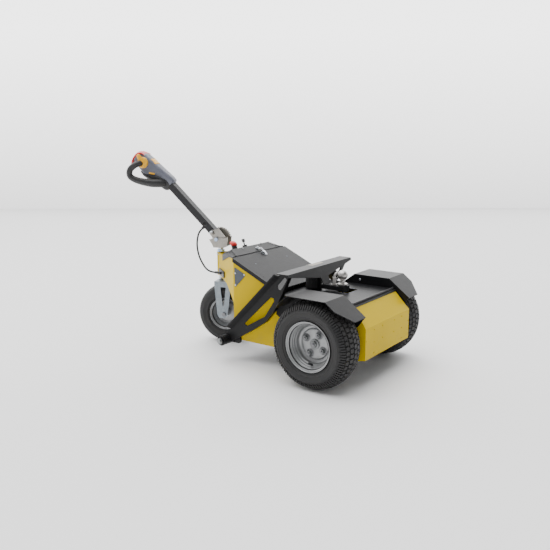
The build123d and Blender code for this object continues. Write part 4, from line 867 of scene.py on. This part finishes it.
# Loop: along the tiller, above it, to the side, and the radius there
grip_line = [
    (0.583, -0.02, 0.046, 0.0155), (0.585, -0.024, 0.066, 0.016), (0.589, -0.04, 0.087, 0.0165),
    (0.588, -0.074, 0.099, 0.0165), (0.564, -0.098, 0.099, 0.0165), (0.522, -0.087, 0.088, 0.018),
    (0.468, -0.052, 0.066, 0.0215), (0.437, -0.024, 0.04, 0.0225), (0.42, -0.012, 0.02, 0.02),
]
for side, sign in sides:
    rotor = bmesh.new()
    place = axes(on_tiller(rotor_along, rotor_up, sign * 0.042), tiller_along, steered_left * sign)
    lathe(rotor, rotor_profile, place, 48)
    lobe = []
    for share, _ in lobe_shares:
        along = rotor_along + (lobe_along - rotor_along) * share
        lobe.append(on_tiller(along, rotor_up + (lobe_up - rotor_up) * share, sign * 0.05))
    tube(rotor, lobe, [radius for _, radius in lobe_shares], 24)
    keep(f"rotor_{side}", rotor, amber, "tiller", stands_for=(f"thumb_rotor_{side}",))
    grip = bmesh.new()
    route = [Vector((*on_tiller(along, up, sign * left), radius)) for along, up, left, radius in grip_line]
    places = smooth_line(route, 8)
    tube(grip, [Vector(spot[:3]) for spot in places], [spot[3] for spot in places], 24)
    keep(f"hand_loop_{side}", grip, soft_black, "tiller", stands_for=(f"grip_{side}",))


# Blank labels of the head: one on its top, a strip on each side
head_label = bmesh.new()
label_start, label_end = 0.527, 0.566
label_half = 0.031
label_thickness = 0.006
label_height = 0.0342
label_fall = 0.085
rings = []
for step in range(7):
    u = label_start + (label_end - label_start) * step / 6
    top = label_height - (u - label_start) * label_fall
    line = [
        (label_half * share, top - drop)
        for share, drop in ((1, 0.0035), (0.8, 0.0012), (0.4, 0.0002), (0, 0))
    ]
    line += [(-w, v) for w, v in reversed(line[:-1])]
    outer = [on_tiller(u, v, w) for w, v in line]
    rings.append([*outer, *[on_tiller(u, v - label_thickness, w) for w, v in reversed(line)]])
skin(head_label, rings)
keep("head_label", head_label, amber, "tiller")
strip_along = tiller_along * 0.79 - tiller_up * 0.61
for side, sign in sides:
    side_label = bmesh.new()
    place = axes(on_tiller(0.505, -0.0185, sign * 0.0365), strip_along, steered_left * sign)
    prism(side_label, round_outline(0.034, 0.0085, 0.002), place, 0.0, 0.0042, 0.0008)
    keep(f"head_strip_{side}", side_label, amber, "tiller")


# Side plate, blank, with its three rivets
def round_corners(points, radius, steps=5):
    """An outline with its corners rounded off."""
    line = []
    for before, corner, after in zip([points[-1], *points[:-1]], points, [*points[1:], points[0]]):
        corner = Vector(corner)
        start = corner + (Vector(before) - corner).normalized() * radius
        end = corner + (Vector(after) - corner).normalized() * radius
        for step in range(steps + 1):
            t = step / steps
            line.append(start * (1 - t) ** 2 + corner * 2 * t * (1 - t) + end * t**2)
    return line


side_place = axes(at(0, body_half, 0), (1, 0, 0), (0, 1, 0))
plate = bmesh.new()
plate_top = 0.0022
plate_outline = round_corners([(0.543, -0.478), (0.47, -0.446), (0.539, -0.374)], 0.009)
prism(plate, plate_outline, side_place, 0.0002, plate_top, 0.0006)
keep("side_plate", plate, plate_grey, "chassis")
rivets = bmesh.new()
rivet_profile = [(0, 0), (0.0042, 0), (0.004, 0.001), (0.0026, 0.002), (0, 0.0024)]
for x, z in ((0.5365, 0.4475), (0.4795, 0.4462), (0.536, 0.388)):
    lathe(rivets, rivet_profile, side_place @ Matrix.Translation((x, -z, plate_top)), 18)
keep("plate_rivets", rivets, bolt_zinc, "chassis")


# Hood: near-black discs painted as the shade inside its holes, dimples on its slope, and the screws of the
# front cover
hood_normal = Vector((-sin(hood_slope), 0, cos(hood_slope)))


def on_hood(forward, left, rise=0.0):
    z = hood_front_z - (hood_front_ahead - forward) * sin(hood_slope) / cos(hood_slope)
    return at(forward, left, z) + hood_normal * rise


def stud_heads(name, spots, radius, height, material, body):
    """Low round screw heads: each spot is a place and the way it faces."""
    bm = bmesh.new()
    for spot, facing in spots:
        side = (0, 1, 0) if abs(Vector(facing).y) < 0.9 else (1, 0, 0)
        place = axes(spot, side, facing)
        dome = [(radius, height * 0.4), (radius * 0.7, height), (0, height)]
        lathe(bm, [(0, -0.0005), (radius, -0.0005), *dome], place, 20)
    keep(name, bm, material, body)


hood_dimples = [(on_hood(0.4735, side * 0.1345), hood_normal) for side in (1, -1)]
stud_heads("hood_dimples", hood_dimples, 0.0045, 0.0007, plate_grey, "hood")
# Painted shade: near-black discs where the holes' dark insides show
hole_places = ((0.398, 0.196), (0.38, 0.196), (0.413, 0.205), (0.322, 0.19))
hood_hole_shades = [(on_hood(x, side * y), hood_normal) for x, y in hole_places for side in (1, -1)]
stud_heads("hood_hole_shades", hood_hole_shades, 0.003, 0.0004, hole_shade_black, "hood")
cover_screws = [(on_hood(x, y), hood_normal) for x, y in ((0.603, 0.075), (0.613, -0.089))]
stud_heads("cover_screws", cover_screws, 0.0045, 0.0014, dull_zinc, "chassis")

# Toggle latch: a base on the hood, a lever over it and a hooked keeper on the front cover
latch_along = Vector((cos(hood_slope), 0, sin(hood_slope)))
latch_y = -0.014
latch_scale = 0.66
quarter_turn = Matrix.Rotation(radians(90), 4, "X")
latch_base = axes(on_hood(0.534, latch_y, 0.0004), latch_along, hood_normal) @ Matrix.Scale(latch_scale, 4)
latch = bmesh.new()
prism(latch, round_outline(0.05, 0.03, 0.004), latch_base, 0.0, 0.0022, 0.0005)
cheek_outline = [
    (-0.016, 0.001), (0.02, 0.001), (0.02, 0.009), (0.008, 0.0135), (-0.008, 0.012), (-0.016, 0.006),
]
for side in (1, -1):
    cheek = latch_base @ Matrix.Translation((0, side * 0.0125, 0)) @ quarter_turn
    prism(latch, cheek_outline, cheek, -0.0009, 0.0009)
lever_half = 0.0108
lever_thickness = 0.0016
lever = [(-0.024, 0.0035), (-0.017, 0.0075), (-0.004, 0.0135), (0.016, 0.016), (0.03, 0.0155)]
for (x0, z0), (x1, z1) in zip(lever, lever[1:]):
    section = ((x0, z0), (x0, z0 + lever_thickness), (x1, z1 + lever_thickness), (x1, z1))
    skin(latch, [[latch_base @ Vector((x, y, z)) for x, z in section] for y in (lever_half, -lever_half)])
pin = latch_base @ Matrix.Translation((0.004, 0, 0.0092)) @ quarter_turn
lathe(latch, [(0, -0.0165), (0.003, -0.0165), (0.003, 0.0165), (0, 0.0165)], pin, 16)
wire_radius = 0.0016
wire_places = [(0.004, 0.0092), (0.02, 0.0175), (0.04, 0.0205), (0.056, 0.019), (0.06, 0.015)]
for side in (1, -1):
    wire = smooth_line([latch_base @ Vector((x, side * 0.0072, z)) for x, z in wire_places], 4)
    tube(latch, wire, [wire_radius] * len(wire), 10)
keep("toggle_latch", latch, bolt_zinc, "hood", stands_for=("hood_latch",))
keeper = bmesh.new()
keeper_place = axes(at(0.576, latch_y, 0.5388), (1, 0, 0.39), (-0.36, 0, 0.93))
keeper_place = keeper_place @ Matrix.Scale(latch_scale, 4)
prism(keeper, round_outline(0.03, 0.026, 0.003), keeper_place, -0.001, 0.0018, 0.0004)
hook = [(-0.004, 0.001), (-0.003, 0.008), (0.003, 0.01), (0.0075, 0.006), (0.0095, 0.001)]
tube(keeper, [keeper_place @ Vector((x, 0, z)) for x, z in hook], [0.0032] * len(hook), 12)
keep("latch_keeper", keeper, bolt_zinc, "chassis")


# Near-black strips along the joints of the front cover: painted shadow of the gaps there
def strip(bm, line, width, height, up):
    """A square strip along a line of points."""
    rings = []
    for i, point in enumerate(line):
        heading = (line[min(i + 1, len(line) - 1)] - line[max(i - 1, 0)]).normalized()
        side = heading.cross(Vector(up)).normalized() * width / 2
        rise = Vector(up).normalized() * height / 2
        rings.append([point + side + rise, point - side + rise, point - side - rise, point + side - rise])
    skin(bm, rings)


# Painted shadow: black strips where the front cover's joints lie in shade
gap_shadow_strips = bmesh.new()
gap_shadow_z = 0.5195
strip(gap_shadow_strips, [at(0.5545, 0.184, gap_shadow_z), at(0.5545, -0.184, gap_shadow_z)], 0.006, 0.0085, (0, 0, 1))
for side in (1, -1):
    corner_gap_shadow = [at(0.555, side * 0.184, gap_shadow_z), at(0.555, side * 0.217, 0.5155)]
    strip(gap_shadow_strips, corner_gap_shadow, 0.006, 0.008, (0, 0, 1))
    edge_gap_shadow = [at(0.558, side * 0.1855, 0.5292), at(0.615, side * 0.1545, 0.5515)]
    strip(gap_shadow_strips, edge_gap_shadow, 0.0035, 0.002, (0, side * 0.3, 1))
keep("cover_gap_shadows", gap_shadow_strips, black_plastic, "chassis")

# Bolts of the lift frame and the fenders
frame_bolts = bmesh.new()
for side in (1, -1):
    bolt(frame_bolts, axes(at(0.562, side * 0.3165, 0.115), (1, 0, 0), (0, side, 0)), 0.0125, 0.01, 1.25)
keep("pivot_bolts", frame_bolts, dull_zinc, "chassis")
fender_places = ((0.0753, 0.3963), (-0.1083, 0.3752))
fender_bolts = [(at(x, side * 0.2192, z), (0, -side, 0)) for x, z in fender_places for side in (1, -1)]
stud_heads("fender_bolts", fender_bolts, 0.0062, 0.0042, bolt_zinc, "chassis")

# Tow ball, turned from one piece, on its hexagon
ball_radius = 0.025
ball_place = upright(0.05, 0, 0.459)
ball_profile = [(0.0, ball_radius)]
for degrees in range(6, 150, 6):
    turn = radians(degrees)
    ball_profile.append((ball_radius * sin(turn), ball_radius * cos(turn)))
ball_profile += [
    (0.0118, -0.023), (0.0118, -0.033), (0.0135, -0.037), (0.019, -0.039), (0.024, -0.04),
    (0.0245, -0.042), (0.0245, -0.047), (0.0235, -0.049), (0.0, -0.049),
]
turned("turned_ball", ball_profile, ball_place, 72, ball_steel, "lift_frame", stands_for=("tow_ball",))

# Blank label on the top of the beam
label = bmesh.new()
beam_place = upright(0, 0, 0.492)
prism(label, [(0.205, 0.028), (0.205, -0.076), (0.234, -0.076), (0.234, 0.028)], beam_place, 0.0001, 0.0006)
keep("beam_label", label, label_beige, "lift_frame")

# Nuts and washers under the tiller's bracket
neck = bmesh.new()
neck_place = upright(wheel_base, 0, 0)
washer_bore = 0.0155
for low, radius, height in ((0.485, 0.0245, 0.0022), (0.499, 0.0225, 0.002), (0.5215, 0.022, 0.002)):
    washer = [(washer_bore, low), (radius, low), (radius, low + height), (washer_bore, low + height)]
    lathe(neck, washer, neck_place, 40, closed=True)
for low, turn in ((0.4873, 0.2), (0.5015, 0.5)):
    prism(neck, hexagon(0.0205, turn), neck_place, low, low + 0.0112, 0.0015)
keep("stem_nuts", neck, blue_zinc, "steering")

# Stop button: a domed head on its base
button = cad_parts["stop_button"]
corners = [button.matrix_world @ Vector(corner) for corner in button.bound_box]
button_place = axes(sum(corners, Vector()) / len(corners), (0, 1, 0), hood_normal)
dome = [
    (0, -0.0062), (0.0188, -0.0062), (0.0205, -0.003), (0.0203, 0.001), (0.018, 0.0055), (0.013, 0.0088),
    (0.007, 0.0102), (0, 0.0106),
]
turned("stop_head", dome, button_place, 48, signal_red, "chassis", stands_for=("stop_button",))

# Edge strip along the deck's rear
edge = bmesh.new()
edge_half = body_half - 0.018
deck_rear = -0.1215
edge_ends = [at(deck_rear, left, deck_top + 0.0055) for left in (edge_half, -edge_half)]
strip(edge, edge_ends, 0.006, 0.0115, (0, 0, 1))
keep("deck_edge", edge, black_coat, "chassis")

# Locking pin and its catch on the tongue, in front of the tow ball
catch = bmesh.new()
catch_place = upright(0.094, 0.004, 0.408)
catch_profile = [
    (0, 0), (0.014, 0), (0.014, 0.004), (0.0095, 0.005), (0.0095, 0.036), (0.008, 0.038), (0, 0.038),
]
lathe(catch, catch_profile, catch_place, 32)
handle = [(0.094, 0.004, 0.436), (0.093, 0.002, 0.45), (0.089, -0.004, 0.461), (0.083, -0.01, 0.468)]
tube(catch, [at(*spot) for spot in handle], [0.0062, 0.0064, 0.0062, 0.0052], 14)
keep("ball_catch", catch, ball_steel, "lift_frame")

# Tiller's foot: the lock pin on a black ring painted as the shade round it, and the socket where the cable
# goes in
lock_place = axes(on_tiller(0.044, 0.0045, 0.0294), tiller_along, steered_left)
pin_profile = [
    (0, 0), (0.0104, 0), (0.0104, 0.007), (0.0092, 0.0085), (0.0092, 0.013), (0.0078, 0.0145), (0, 0.0145),
]
turned("lock_pin", pin_profile, lock_place, 32, bolt_zinc, "tiller")
# Black ring round the lock pin: painted shade
ring_profile = [
    (0.0085, 0), (0.0132, 0), (0.0132, 0.003), (0.0122, 0.0042), (0.0105, 0.0042), (0.0085, 0.003),
]
turned("lock_pin_shade_ring", ring_profile, lock_place, 36, black_plastic, "tiller", closed=True)
ring_place = axes(on_tiller(0.1067, 0.01, 0.0249), tiller_along, steered_left)
ring_profile = [
    (0.0085, 0), (0.015, 0), (0.0145, 0.0035), (0.012, 0.005), (0.0095, 0.0035), (0.0085, 0.001),
]
turned("tiller_socket", ring_profile, ring_place, 36, black_plastic, "tiller", closed=True)


# Stage: a pale floor, a bright backdrop and soft lights
def flat_sheet(name, corners, material):
    mesh = bpy.data.meshes.new(name)
    mesh.from_pydata(corners, [], [(0, 1, 2, 3)])
    mesh.materials.append(material)
    return add_object(name, mesh)


white = rgb(1, 1, 1)
floor_half = 14
backdrop_away = 7.0
backdrop_half = 16
backdrop_height = 9
glow_full_height = 2.6

pale = Finish("pale_floor").surface(rgb(0.92, 0.92, 0.92), 0.7)
corners = [(x * floor_half, y * floor_half, 0) for x, y in ((-1, -1), (1, -1), (1, 1), (-1, 1))]
floor = flat_sheet("floor", corners, pale)

behind = Vector((ahead.x, ahead.y, 0)).normalized()
reach = behind.cross(Vector((0, 0, 1))) * backdrop_half
foot = behind * backdrop_away
top = Vector((0, 0, backdrop_height))
paper = Finish("lit_paper")
glow = paper.mix(paper.ramp(paper.height(), 0.0, glow_full_height), rgb(0.5, 0.5, 0.5), white)
lit = paper.surface(rgb(0.2, 0.2, 0.2), 0.8, Emission_Color=glow, Emission_Strength=3.5)
backdrop = flat_sheet("backdrop", [foot - reach, foot + reach, foot + reach + top, foot - reach + top], lit)

world = bpy.data.worlds.new("studio")
bpy.context.scene.world = world
world.use_nodes = True
background = world.node_tree.nodes["Background"]
background.inputs["Color"].default_value = white
background.inputs["Strength"].default_value = 0.3


def shining(name, kind, heading, strength):
    data = bpy.data.lights.new(name, kind)
    data.energy = strength
    light = add_object(name, data)
    light.rotation_mode = "QUATERNION"
    light.rotation_quaternion = Vector(heading).to_track_quat("-Z", "Y")
    return light


overhead = shining("overhead", "SUN", (-0.2, -0.05, -1), 4.2)
overhead.data.angle = radians(70)
middle = Vector((0, 0, 0.35))
for name, spot, power in (("left_box", (3.4, 2.6, 1.5), 36), ("front_box", (-2.4, 3.6, 2.2), 6)):
    box = shining(name, "AREA", middle - Vector(spot), power)
    box.data.shape = "DISK"
    box.data.size = 2.4
    box.location = spot
